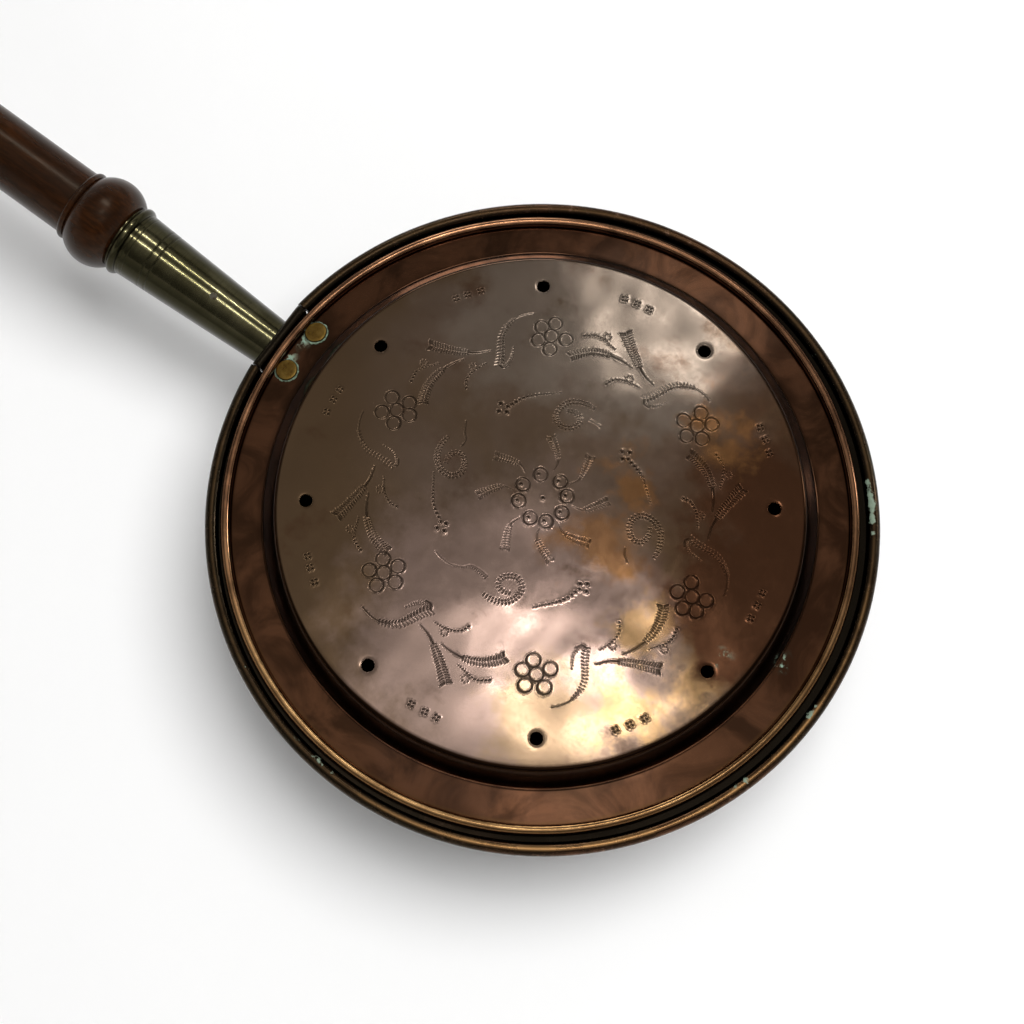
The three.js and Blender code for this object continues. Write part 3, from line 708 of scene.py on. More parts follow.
def hatched(points, width, spacing=HATCH, slant=0.35, gap=0.35, half=0.26, rows=TWO_ROWS, grow=0.0):
    """Rows of short slanting strokes beside a line. Their length grows from a share of the width at
    the line's start, or follows a function of the way along it."""
    places, ways = curve(points, spacing)
    last = len(places) - 1
    for i, (place, way) in enumerate(zip(places, ways)):
        size = grow(i / last) if callable(grow) else grow + (1 - grow) * i / last
        for row, force in rows:
            side = row * np.array([-way[1], way[0]])
            length = width * size * chance.uniform(0.88, 1.08)
            inner = place + side * gap * min(1, 2 * size)
            outer = inner + side * length - way * slant * length
            chasing.stroke(inner, outer, half, half * 0.85, 0.34 * force)


def swelling(low, peak=0.6):
    """A share that grows from low to 1 at the peak and falls back to low."""

    def size(t):
        rise = t / peak if t < peak else (1 - t) / (1 - peak)
        return low + (1 - low) * math.sin(math.pi / 2 * rise)

    return size


def beads(points, first, last):
    """A row of dots that shrinks along a line."""
    places, _ = curve(points, 0.5)
    run = run_of(places)
    station = 0.0
    while station <= run[-1]:
        radius = first + (last - first) * station / run[-1]
        x, y = np.interp(station, run, places[:, 0]), np.interp(station, run, places[:, 1])
        chasing.dot(x, y, radius, 0.2 + 0.35 * radius)
        station += 2.5 * radius + 0.3


def leaf(points, width, stem=0.38, force=1.0):
    """A stem that thickens and opens into two hatched rows with a blunt end."""
    places, ways = curve(points, 0.8)
    split = int(len(places) * stem)
    for i in range(split):
        half = 0.2 + 0.3 * i / split
        chasing.stroke(places[i], places[i + 1], half * force, half * force, 0.3 * force)
    hatched(places[split:], width, spacing=1.2, slant=-0.3, gap=0.5, half=0.27,
            rows=((1, force), (-1, 0.8 * force)), grow=0.4)
    for row in (1, -1):
        side = row * np.array([-ways[-1][1], ways[-1][0]])
        for back in (0, 0.5):
            foot = places[-1] + side * 0.5 - ways[-1] * back
            head = foot + side * width * 0.9 + ways[-1] * 0.3 * width
            chasing.stroke(foot, head, 0.34, 0.3, 0.3 * force)


# Each flower's middle, and the turns of its petals in degrees.
FLOWERS = (
    ((-63.4, 43.3), (110, 32, -23, -102, -173)),
    ((-67.8, -30.8), (94, 25, -40, -119, 170)),
    ((-2.0, -75.4), (101, 160, 224, 302, 21)),
    ((65.4, -41.7), (92, 160, -14, -130, -76)),
    ((69.6, 35.7), (156, 73, 7, -136, -71)),
    ((5.4, 78.2), (73, 134, -15, -97, -162)),
)
RING = 3.05
PETAL_REACH = 6.35


def flower(centre, petals):
    lean = chance.uniform(0, 2 * math.pi)
    chasing.ring(*centre, RING, lean=lean)
    for degrees in petals:
        way = turned_by((PETAL_REACH * chance.uniform(0.96, 1.06), 0), degrees)
        chasing.ring(centre[0] + way[0], centre[1] + way[1], RING, lean=lean)


COMB_WIDTHS = (1.9, 0.9, 1.4, 1.2, 1.0, 1.0)
SPRIG_TURN = -59.6


def sprig(turn, bold):
    """One group between two flowers: a curled comb, two leaves and two beaded tendrils."""

    def at(*points):
        return turned_by(points, turn)

    comb = at(
        (-76.8, -45.8), (-73.8, -49.2), (-69.7, -52.1), (-64.7, -53.3), (-59.7, -52.9),
        (-55.5, -50.8), (-51.3, -48.6), (-47.4, -47.2), (-47.2, -44.9), (-49.4, -43.3),
        (-52.4, -42.7), (-55.4, -43.6), (-58.4, -45.2),
    )
    force = 0.5 + 0.26 * bold
    line(comb[:4], half=0.3 * force, depth=0.3 * force)
    hatched(comb[2:8], bold, spacing=1.5, slant=-0.45, gap=0.5, half=0.36 * force,
            rows=((1, force), (-1, 0.55 * force)), grow=0.35)
    line(comb[7:10], half=0.5 * force, depth=0.32 * force)
    hatched(comb[7:], bold * 0.75, spacing=1.2, slant=0.1, gap=0.6, half=0.26, rows=((1, 0.7 * force),),
            grow=swelling(0.4))
    leaf(at((-51.8, -53.8), (-47.6, -59), (-44.6, -66), (-42.4, -72.5), (-40.6, -79)), 2.1)
    leaf(at((-42.6, -62.1), (-38, -65.8), (-32, -68.6), (-25, -70), (-18, -69), (-15.5, -68)), 1.9)
    beads(at((-30.9, -54.6), (-33.8, -56.4), (-38, -56.3), (-42.2, -54.6), (-45.5, -52.7)), 0.58, 0.32)
    beads(at((-21.8, -77.8), (-27.2, -77.9), (-30.9, -75.4), (-33.8, -72.5), (-35.9, -70.8)), 0.58, 0.32)
    for x, y in at((-41.3, -56.9), (-32.2, -77.1)):
        for k in range(7):
            way = turned_by((1.5, 0), 360 * k / 7)
            chasing.dot(x + way[0], y + way[1], 0.4, 0.24)


PATTERN_MIDDLE = np.array((1.2, 2.5))
EYE_REACH = 10.6
EYE_TURNS = (145, 95, 44, 4, -39, -83, -122, -173)
PLUME_TURNS = (124, 69, 29, -16, -59, -97, -139, 164)


def middle_rosette():
    chasing.dot(*PATTERN_MIDDLE, 0.8)
    for degrees in EYE_TURNS:
        x, y = PATTERN_MIDDLE + turned_by((EYE_REACH, 0), degrees)
        chasing.ring(x, y, RING, lean=chance.uniform(0, 2 * math.pi))
        chasing.dot(x - 0.9, y + 0.3, 0.75)
    for degrees in PLUME_TURNS:
        bend = ((13.4, 0), (17.9, -1.5), (22.3, 5), (28.2, 13))
        path = [PATTERN_MIDDLE + turned_by((reach, 0), degrees + more) for reach, more in bend]
        leaf(path, 1.5, force=0.72)


SCROLL = (
    (-40.6, 30.8), (-43.5, 27.1), (-45.2, 22.1), (-44.3, 17.1), (-41.4, 13.8), (-38.1, 12.7),
    (-34.3, 14.6), (-33.1, 18.8), (-34.3, 22.5), (-37.3, 23.6), (-40.2, 21.7), (-41.4, 18.8),
)
SCROLL_TURNS = ((0, 1), (-82, 0.98), (-169, 1.08), (-264, 0.93))
BEAD_ARC = ((-14.2, 44.8), (-7.7, 48.5), (-3.5, 49.8), (1.1, 50.4), (5.3, 50.8), (9.8, 51.3))
BEAD_ENDS = ((-17.4, 46.2), (-18.3, 42.6), (-14.8, 42.2))
BEAD_TURNS = ((0, 1), (-80, 0.93), (-174, 0.89), (-277, 0.94))
ACCENTS = (
    ((-32.7, 38.3), (-33.1, 32.9), (-32.7, 29.6), (-34.5, 26.7)),
    ((22.3, 38.3), (26.8, 35.3)),
    ((-45.6, -21.3), (-42.7, -24.6), (-38.5, -27.5), (-33.9, -28.3), (-29.3, -27.9), (-23.1, -32.5)),
    ((36.9, -20), (36.6, -23), (37.8, -26.3)),
)


def middle_ring():
    for degrees, reach in SCROLL_TURNS:
        path = turned_by(SCROLL, degrees) * reach
        hatched(path, 0.6, spacing=1.45, slant=0.05, gap=0.5, half=0.36, rows=((1, 0.9), (-1, 0.9)),
                grow=swelling(0.35, 0.35))
    for degrees, reach in BEAD_TURNS:
        beads(turned_by(BEAD_ARC, degrees) * reach, 0.75, 0.33)
        for x, y in turned_by(BEAD_ENDS, degrees) * reach:
            chasing.dot(x, y, 0.9, 0.5)
    for path in ACCENTS:
        line(path, half=0.32)
    hatched(ACCENTS[2][2:], 1.3, rows=((-1, 0.7),), slant=0.2)


STAMP_TURNS = (108.1, 64.6, 16.2, -25.7, -68.7, -118.6, -163.9, 152.3)
STAMP_CIRCLE = 103.8
STAMP_SPACING = 3.4


def stamps():
    """Eight groups of three small four-petalled stamps between the vents."""
    for middle in STAMP_TURNS:
        for k in (-1, 0, 1):
            degrees = middle + STAMP_SPACING * k + chance.uniform(-0.3, 0.3)
            place = turned_by((STAMP_CIRCLE, 0), degrees)
            turn = degrees + chance.uniform(-12, 12)
            for q in range(4):
                way = turned_by((1.16, 0), turn + 45 + 90 * q)
                chasing.dot(*(place + way), 0.62, 0.4)


for centre, petals in FLOWERS:
    flower(centre, petals)
for k, bold in enumerate(COMB_WIDTHS):
    sprig(SPRIG_TURN * k, bold)
middle_rosette()
middle_ring()
stamps()
CHASED = np.where(chasing.sunk < 0, chasing.sunk, chasing.lip)

# ---- The lid --------------------

slope = math.radians(BAND_SLOPE)
lid_edge = np.array([LID_BEAD_CENTRE, LID_BEAD_HEIGHT])
curl_radius = LID_BEAD - LID_SHEET / 2
curl_start = -90 - BAND_SLOPE
curl_foot = lid_edge + curl_radius * heading(curl_start)
foot_height = curl_foot[1] + (curl_foot[0] - LID_FOOT) * math.tan(slope)
shoulder_height = foot_height + STEP_RISE


def disc_height(r):
    return shoulder_height + CROWN * (1 - (r / LID_DISC) ** 2)


# The hammered sheet's waves: height and length in millimetres, way in degrees, and phase.
SHEET_WAVES = (
    (0.15, 73, 20, 0.4), (0.11, 56, 100, 2.1), (0.06, 41, 155, 4.0),
    (0.032, 27, 60, 1.2), (0.018, 19, 125, 5.1), (0.010, 13, 5, 3.3),
)


def unevenness(x, y):
    """The slow waves that the hammer left in the sheet, in millimetres."""
    level = 0
    for size, length, degrees, phase in SHEET_WAVES:
        way = math.radians(degrees)
        run = x * math.cos(way) + y * math.sin(way)
        bend = 0.9 * np.sin((x * math.sin(way) - y * math.cos(way)) / length * 2.3 + phase)
        level = level + size * np.sin(2 * math.pi * run / length + phase + bend)
    return level


def to_picture(x, y):
    """Places on the lid, from its middle, in the picture's directions."""
    return (
        x * PICTURE_RIGHT[0] + y * PICTURE_RIGHT[1],
        x * PICTURE_UP[0] + y * PICTURE_UP[1],
    )


def lid_path():
    """The middle of the sheet, round the top of the step and round its foot."""
    on_disc = np.array([0.96 * LID_DISC, disc_height(0.96 * LID_DISC)])
    shoulder = np.array([LID_DISC, shoulder_height])
    foot = np.array([LID_FOOT, foot_height])
    round_shoulder = fillet(on_disc, shoulder, foot, SHOULDER_ROUND, 9)
    round_foot = fillet(shoulder, foot, curl_foot, FOOT_ROUND, 7)
    return round_shoulder, round_foot


def square_to_disc(u, v):
    wide = np.abs(u) > np.abs(v)
    reach = np.where(wide, u, v)
    other = np.where(wide, v, u)
    turn = math.pi / 4 * other / np.where(reach == 0, 1, reach)
    turn = np.where(wide, turn, math.pi / 2 - turn)
    return reach * np.cos(turn), reach * np.sin(turn)


def spread(marks):
    """Marks their eight neighbours too."""
    wide = marks.copy()
    wide[1:] |= marks[:-1]
    wide[:-1] |= marks[1:]
    tall = wide.copy()
    tall[:, 1:] |= wide[:, :-1]
    tall[:, :-1] |= wide[:, 1:]
    return tall


def pooled(marks):
    n = len(marks) // 2
    return marks.reshape(n, 2, n, 2).any((1, 3))


VENTS = [VENT_CIRCLE * heading(VENT_TURN + 360 * k / VENT_COUNT) for k in range(VENT_COUNT)]


def vent_distance(x, y):
    return np.min([np.hypot(x - vx, y - vy) for vx, vy in VENTS], 0)


def disc_sheet(shape, radius, cells, halvings, busy, height, upwards):
    """A disc of quads that are halved where busy(x, y) says so, with the vents cut out. Returns the
    numbers of the points on its edge, in order round the disc, and the vents' edges as pairs."""
    count = cells << halvings
    ticks = np.linspace(-1, 1, count + 1)
    x, y = square_to_disc(*np.meshgrid(ticks, ticks, indexing="ij"))
    x, y = x * radius, y * radius
    middle_x = (x[1:, 1:] + x[:-1, :-1]) / 2
    middle_y = (y[1:, 1:] + y[:-1, :-1]) / 2
    split = busy(middle_x, middle_y)
    wanted = pooled(split)
    splits = {2: wanted}
    size = 4
    while size <= 1 << halvings:
        wanted = pooled(spread(wanted))
        splits[size] = wanted
        size *= 2
    used = np.zeros((count + 1, count + 1), bool)
    leaves = []
    for size in [1 << k for k in range(halvings + 1)]:
        n = count // size
        live = np.ones((n, n), bool) if size == 1 << halvings else np.repeat(
            np.repeat(splits[2 * size], 2, 0), 2, 1)
        if size > 1:
            live = live & ~splits[size]
        i, j = np.nonzero(live)
        i, j = i * size, j * size
        leaves.append((size, i, j))
        for di, dj in ((0, 0), (size, 0), (size, size), (0, size)):
            used[i + di, j + dj] = True
    gap = vent_distance(x, y)
    inside = gap < VENT_RADIUS
    faces = []
    for size, i, j in leaves:
        half = size // 2
        around = [(0, 0), (size, 0), (size, size), (0, size)]
        if size > 1:
            halfway = [(half, 0), (size, half), (half, size), (0, half)]
            around = [place for pair in zip(around, halfway) for place in pair]
        columns = [(i + di, j + dj) for di, dj in around]
        here = np.stack([a * (count + 1) + b for a, b in columns], 1)
        kept = np.stack([used[a, b] for a, b in columns], 1)
        kept[:, :: (1 if size == 1 else 2)] = True
        out = ~np.stack([inside[a, b] for a, b in columns], 1).all(1)
        faces.extend(row[mask] for row, mask in zip(here[out], kept[out]))
    numbers = np.concatenate(faces)
    lengths = [len(f) for f in faces]
    names, places = np.unique(numbers, return_inverse=True)
    px, py = x.ravel()[names].copy(), y.ravel()[names].copy()
    on_edge = inside.ravel()[names]
    for vx, vy in VENTS:
        near = on_edge & (np.hypot(px - vx, py - vy) < VENT_RADIUS)
        reach = np.hypot(px[near] - vx, py[near] - vy)
        px[near] = vx + (px[near] - vx) * VENT_RADIUS / reach
        py[near] = vy + (py[near] - vy) * VENT_RADIUS / reach
    points = np.stack([px + LID_SHIFT, py, height(px, py)], 1)
    first = int(shape.add(points)[0])
    rows = np.split(places + first, np.cumsum(lengths)[:-1])
    rows = [row.tolist() if upwards else row[::-1].tolist() for row in rows]
    shape.faces.extend(rows)
    lookup = np.full((count + 1) ** 2, -1)
    lookup[names] = np.arange(first, first + len(names))
    first_line, last_line = np.zeros(count, int), np.full(count, count)
    rising, falling = np.arange(count), np.arange(count, 0, -1)
    rim_i = np.concatenate([last_line, falling, first_line, rising])
    rim_j = np.concatenate([rising, last_line, falling, first_line])
    rim = lookup[rim_i * (count + 1) + rim_j]
    rim = rim[rim >= 0]
    marked = set(np.nonzero(on_edge)[0] + first)
    directed = set()
    for row in rows:
        if sum(v in marked for v in row) > 1:
            directed.update(
                (a, b) for a, b in zip(row, row[1:] + row[:1]) if a in marked and b in marked
            )
    vent_edges = [(a, b) for a, b in directed if (b, a) not in directed]
    return rim, vent_edges


def dished(x, y):
    """How far the sheet sinks round the vents, where the punch drew it down."""
    near = np.clip(1 - (vent_distance(x, y) - VENT_RADIUS) / 1.5, 0, 1)
    return -0.12 * near * near


def lid_top(x, y):
    u, v = to_picture(x, y)
    r = np.hypot(x, y)
    return (
        disc_height(r) + LID_SHEET / 2 + unevenness(x, y) + dished(x, y)
        + chasing.sample(CHASED, u, v)
    )


def lid_under(x, y):
    return disc_height(np.hypot(x, y)) - LID_SHEET / 2 + unevenness(x, y) + dished(x, y)


def pattern_busy(x, y):
    u, v = to_picture(x, y)
    near = np.zeros(x.shape, bool)
    for du in (-0.25, 0.25):
        for dv in (-0.25, 0.25):
            near |= chasing.sample(chasing.sunk, u + du, v + dv) < -0.03
    gap = vent_distance(x, y)
    return near | ((gap > VENT_RADIUS - 0.6) & (gap < VENT_RADIUS + 0.6))


def vents_busy(x, y):
    gap = vent_distance(x, y)
    return (gap > VENT_RADIUS - 1.2) & (gap < VENT_RADIUS + 1.2)


def ragged(turn, seed):
    """A slow random wander round the rim, from -1 to 1, that closes on itself."""
    waves = np.random.default_rng(seed)
    level = 0
    for k in range(2, 40):
        level = level + waves.normal() / k**0.6 * np.cos(k * turn + waves.uniform(0, 7))
    return level / np.abs(level).max()


DISC_CELLS = 88
TOP_HALVINGS = 3
UNDER_HALVINGS = 1
EDGE_LIFT = 0.6  # share of the sheet's waves that its rolled edge keeps


def lid_shell():
    shape = Shape()
    round_shoulder, round_foot = lid_path()
    # Two rows before the shoulder keep its shading off the flat disc.
    flat = np.array([[r, disc_height(r)] for r in round_shoulder[0][0] - np.array((1.6, 0.2))])
    round_shoulder = np.concatenate([flat, round_shoulder])
    grid_radius = beside(round_shoulder, LID_SHEET / 2)[0][0]
    rim, top_vents = disc_sheet(
        shape, grid_radius, DISC_CELLS, TOP_HALVINGS, pattern_busy, lid_top, True)
    points = np.concatenate(shape.points)
    turn = np.arctan2(points[rim][:, 1], points[rim][:, 0] - LID_SHIFT)

    path = np.concatenate([
        round_shoulder,
        refined(np.array([round_shoulder[-1], round_foot[0]]), 2)[1:-1],
        round_foot,
        refined(np.array([round_foot[-1], curl_foot]), 2.2)[1:],
    ])
    outer = beside(path, LID_SHEET / 2)
    inner = beside(path, -LID_SHEET / 2)

    def around(r, z, lift):
        """Rows of points round the lid, lifted by a share of the sheet's waves."""
        px, py = r * np.cos(turn), r * np.sin(turn)
        return np.stack([px + LID_SHIFT, py, z + lift * unevenness(px, py)], -1)

    def curl(radius, wander):
        """Rows round the rolled edge. Its free end wanders a little along the rim."""
        sweep = CURL_SWEEP + 7 * wander
        share = np.linspace(0, 1, 33)[1:, None]
        angle = np.radians(curl_start + sweep * share)
        swollen = radius * (1 + 0.025 * ragged(turn, 5))
        r = lid_edge[0] + swollen * np.cos(angle)
        z = lid_edge[1] + swollen * np.sin(angle)
        return around(r, z, EDGE_LIFT)

    fade = np.linspace(1, EDGE_LIFT, len(outer))[:, None]
    outer_rows = around(outer[1:, :1], outer[1:, 1:], fade[1:])
    wander = ragged(turn, 3)
    # The sheet's upper face turns inside the roll, and its lower face makes the bright outer skin.
    up = shape.add(np.concatenate([outer_rows, curl(curl_radius - LID_SHEET / 2, wander)]))
    shape.skin(np.concatenate([rim[None], up]), turned_over=True)
    down_rows = around(inner[::-1, :1], inner[::-1, 1:], fade[::-1])
    down_rows = np.concatenate([down_rows[:-1:2], down_rows[-1:]])
    skin_rows = curl(curl_radius + LID_SHEET / 2, wander)[::-1]
    down = shape.add(np.concatenate([skin_rows, down_rows]))
    shape.skin(np.concatenate([up[-1:], down]), turned_over=True)
    under_rim, _ = disc_sheet(
        shape, inner[0][0], DISC_CELLS, UNDER_HALVINGS, vents_busy, lid_under, False)
    shape.skin(np.stack([down[-1], under_rim]), turned_over=True)

    points = np.concatenate(shape.points)
    for a, b in top_vents:
        low = points[[a, b]] - np.array([0, 0, LID_SHEET + 0.05])
        c, d = shape.add(low).tolist()
        shape.faces.append([b, a, c, d])
    return shape


lid_shape = lid_shell()
lid_piece = piece("lid_shell", lid_shape, lid_copper, "lid", ("lid",), recalc=False)


def write_attribute(made, name, values):
    layer = made.data.attributes.new(name, "FLOAT", "POINT")
    layer.data.foreach_set("value", np.asarray(values, np.float32))


def bead_glow(r, z, centre, radius, middle, width):
    """1 along a line on a rolled edge, at an angle from outwards by way of the top, and 0 beyond."""
    turn = np.degrees(np.arctan2(z - centre[1], r - centre[0])) - middle
    turn = (turn + 180) % 360 - 180
    reach = np.hypot(z - centre[1], r - centre[0])
    on_bead = (reach > radius - 0.5) & (reach < radius + 0.6)
    return np.exp(-((turn / width) ** 2)) * on_bead


def fade_in(value, start, width):
    """0 up to the start, and 1 from a width beyond it."""
    return np.clip((value - start) / width, 0, 1)


# Two places with verdigris, in the picture's directions, and the angles of the painted highlight lines
# on the rolled edge, from outwards by way of the top, with their widths.
GREEN_VENT = (77, -68)
FOOT_PIT = (105, -68)
CROWN_HIGHLIGHT_LINE, CROWN_HIGHLIGHT_WIDTH = 104, 34
LIP_HIGHLIGHT_LINE, LIP_HIGHLIGHT_WIDTH = 158, 9


def dress_lid(made):
    """Marks the chased lines, the band, the step for its painted shade, the rolled edge and the painted
    highlight lines on it, and the damp places, for their colours."""
    points = np.concatenate(lid_shape.points)
    x, y, z = points[:, 0] - LID_SHIFT, points[:, 1], points[:, 2]
    r = np.hypot(x, y)
    u, v = to_picture(x, y)
    above_middle = z - disc_height(r) - unevenness(x, y)
    on_top = (r < LID_DISC - 3) & (above_middle > -LID_SHEET / 4)
    groove = np.clip(-chasing.sample(chasing.sunk, u, v) / 0.24 - 0.2, 0, 1)
    write_attribute(made, "groove", groove * on_top)
    write_attribute(made, "band", fade_in(r, LID_DISC - 0.8, 1.2))
    # The step is painted dark as shade; at the picture's lower side its painted shade starts a little
    # sooner, and ends sooner too.
    low = np.clip(-v / LID_DISC, 0, 1) ** 2
    step = fade_in(r, LID_DISC - 0.8 - 2.2 * low, 0.8) * fade_in(-r, 1.4 * low - LID_FOOT - 1.4, 0.8)
    write_attribute(made, "step", step)
    write_attribute(made, "edge", fade_in(r, LID_BEAD_CENTRE - 2.9, 0.9))
    # Where the painted highlight runs along the crown of the rolled edge.
    write_attribute(made, "crown_highlight", bead_glow(r, z, lid_edge, LID_BEAD, CROWN_HIGHLIGHT_LINE, CROWN_HIGHLIGHT_WIDTH))
    # Where the painted highlight runs along the inner lip of the rolled edge.
    write_attribute(made, "lip", bead_glow(r, z, lid_edge, LID_BEAD, LIP_HIGHLIGHT_LINE, LIP_HIGHLIGHT_WIDTH))
    damp = 0.6 * np.clip(1.4 - np.hypot(u - GREEN_VENT[0], v - GREEN_VENT[1]) / 4, 0, 1)
    damp = damp + np.clip(1.6 - np.hypot(u - FOOT_PIT[0], v - FOOT_PIT[1]) / 3, 0, 1)
    streak_x = HINGE_X - LID_RIVET_REACH + 3.2 - LID_SHIFT
    for side in (-1, 1):
        streak = np.hypot((x - streak_x) / 3.4, (y - side * (LID_RIVET_SIDE - 3.4)) / 5.2)
        damp = damp + 0.9 * np.clip(1.6 - streak, 0, 1) * (r < LID_BEAD_CENTRE - LID_BEAD)
    write_attribute(made, "damp", np.clip(damp, 0, 1))


dress_lid(lid_piece)

# ---- The pan --------------------

bead_centre = PAN_RIM - PAN_BEAD
pan_curl = PAN_BEAD - PAN_SHEET / 2
ledge_mid = LID_BEAD_HEIGHT - LID_BEAD - 0.3 - PAN_SHEET / 2
ledge_outer = bead_centre - pan_curl
wall_top = ledge_outer - PAN_LEDGE_WIDTH
draft = math.radians(PAN_DRAFT)


def wall_outer(z):
    return wall_top - (ledge_mid - z) * math.tan(draft) + PAN_SHEET / 2 / math.cos(draft)


PAN_SIDES = 256


def pan_shell():
    middle = np.array([0, PAN_SHEET / 2])
    corner = np.array([wall_top - (ledge_mid - PAN_SHEET / 2) * math.tan(draft), PAN_SHEET / 2])
    ledge_inner = np.array([wall_top, ledge_mid])
    upturn = np.array([ledge_outer, ledge_mid])
    rim = np.array([bead_centre, RIM_HEIGHT])
    runs = [
        np.array([[14, PAN_SHEET / 2]]),
        fillet(middle, corner, ledge_inner, PAN_CORNER, 10),
        fillet(corner, ledge_inner, upturn, LEDGE_ROUND, 5),
        fillet(ledge_inner, upturn, np.array([ledge_outer, RIM_HEIGHT]), UPTURN_ROUND, 4),
        arc(rim, pan_curl, 180, 180 - CURL_SWEEP, 26),
    ]
    path = [runs[0]]
    for a, b in zip(runs[:-1], runs[1:]):
        path.append(refined(np.array([a[-1], b[0]]), 12)[1:])
        path.append(b[1:])
    path = np.concatenate(path)
    turn = full_turn(PAN_SIDES)
    lower, upper = beside(path, -PAN_SHEET / 2), beside(path, PAN_SHEET / 2)
    shape = Shape()

    def rows(profile):
        r, z = profile[:, :1], profile[:, 1:]
        wave = unevenness(r * np.cos(turn) * 1.1 + 40, r * np.sin(turn) * 1.1)
        wall = np.clip((z - 14) / 20, 0, 1) * np.clip((ledge_mid - z) / 12, 0, 1)
        return round_points(r + wave * wall * 0.8, turn, z)

    numbers = shape.add(np.concatenate([rows(lower), rows(upper)[::-1]]))
    shape.skin(numbers)
    shape.cap(numbers[0], (0, 0, lower[0][1]))
    shape.cap(numbers[-1], (0, 0, upper[0][1]))
    return shape


def notched(made):
    """Cuts the rim away where the hinge's knuckle turns."""
    deep = 2 * PAN_BEAD + NOTCH_FLOOR
    size = (2 * PAN_LEDGE_WIDTH + 4 * PAN_BEAD, HINGE_WIDTH + 2 * HINGE_SIDE_GAP, deep)
    place = (HINGE_X, 0, RIM_HEIGHT - NOTCH_FLOOR + deep / 2)
    block = bpy.data.meshes.new("notch")
    solid = bmesh.new()
    bmesh.ops.create_cube(solid, size=1)
    solid.transform(Matrix.LocRotScale(Vector(place) * MM, None, Vector(size) * MM))
    solid.to_mesh(block)
    solid.free()
    cutter = added("notch", block)
    cutting = made.modifiers.new("notch", "BOOLEAN")
    cutting.operation = "DIFFERENCE"
    cutting.solver = "EXACT"
    cutting.object = cutter
    depsgraph = bpy.context.evaluated_depsgraph_get()
    result = bpy.data.meshes.new_from_object(made.evaluated_get(depsgraph))
    made.modifiers.clear()
    made.data = result
    bpy.data.objects.remove(cutter)
    result.set_sharp_from_angle(angle=math.radians(50))


# The damp places round the rim: degrees from the picture's right, half width and force.
GREEN_SPOTS = (
    (1, 5, 0.8), (-37, 2, 0.85), (-55.5, 1.8, 0.78), (53, 2, 0.45), (30, 9, 0.3), (-129, 11, 0.42),
)
# The angle of the painted highlight line on the rim, and its width.
RIM_HIGHLIGHT_LINE, RIM_HIGHLIGHT_WIDTH = 94, 16


def dress_pan(made):
    """Marks the gap inside the rim, darkened as dirt and painted shade, the painted highlight line on
    the rim and the damp places.
    """
    points = np.array([v.co for v in made.data.vertices]) / MM
    x, y, z = points.T
    r = np.hypot(x, y)
    u, v = to_picture(x, y)
    rim = (bead_centre, RIM_HEIGHT)
    wear_and_highlight = bead_glow(r, z, rim, PAN_BEAD, RIM_HIGHLIGHT_LINE, RIM_HIGHLIGHT_WIDTH)
    # The painted highlight is strongest towards the picture's lower side and weak elsewhere.
    low = fade_in(-v, 20, 90) * fade_in(u, -95, 80)
    write_attribute(made, "crown_highlight", wear_and_highlight * (0.12 + 0.88 * low))
    # Inside the rim's bead, darkened as dirt and painted shade; on the left it starts further in.
    left = fade_in(-u, -20, 60)
    inside = fade_in(-r, 0.9 + 1.9 * left - bead_centre, 1.2) * (r > wall_top - 4)
    write_attribute(made, "gap_dirt_and_shade", inside)
    turn = np.degrees(np.arctan2(v, u))
    damp = 0 * turn
    for middle, half, force in GREEN_SPOTS:
        away = np.abs((turn - middle + 180) % 360 - 180)
        damp = np.maximum(damp, force * np.clip(1.6 - away / half, 0, 1))
    on_top = np.exp(-(((r - bead_centre + 1.1) / 1.9) ** 2)) * (z > RIM_HEIGHT)
    write_attribute(made, "damp", damp * on_top)


pan_piece = piece("pan_shell", pan_shell(), pan_copper, "pan", ("pan_bowl",))
notched(pan_piece)
dress_pan(pan_piece)


def wire(path, radius, sides=12):
    """A closed ring of round wire through points of the model's frame."""
    along = unit(np.roll(path, -1, 0) - np.roll(path, 1, 0))
    side = unit(np.cross(along, (0, 0, 1)))
    turn = full_turn(sides)[None, :, None]
    ring = np.cos(turn) * side[:, None] + np.sin(turn) * np.array((0, 0, 1))
    return skinned(path[:, None] + radius * ring, closed_rows=True)


WIRE_STEPS = 220


def rim_path():
    half = HINGE_WIDTH / 2 + HINGE_SIDE_GAP
    first = math.asin(half / bead_centre)
    turn = np.linspace(first, 2 * math.pi - first, WIRE_STEPS)
    ends = np.array([[HINGE_X, y, RIM_HEIGHT] for y in (-half, 0, half)])
    return np.concatenate([round_points(bead_centre, turn, RIM_HEIGHT), ends])


lid_ring = round_points(LID_BEAD_CENTRE, full_turn(WIRE_STEPS), LID_BEAD_HEIGHT) + (LID_SHIFT, 0, 0)
piece("rim_wire", wire(rim_path(), WIRE), rim_iron, "pan", ("pan_rim_wire",))
piece("lid_wire", wire(lid_ring, LID_WIRE), rim_iron, "lid", ("lid_rim_wire",))

# ---- The hinge and its rivets --------------------


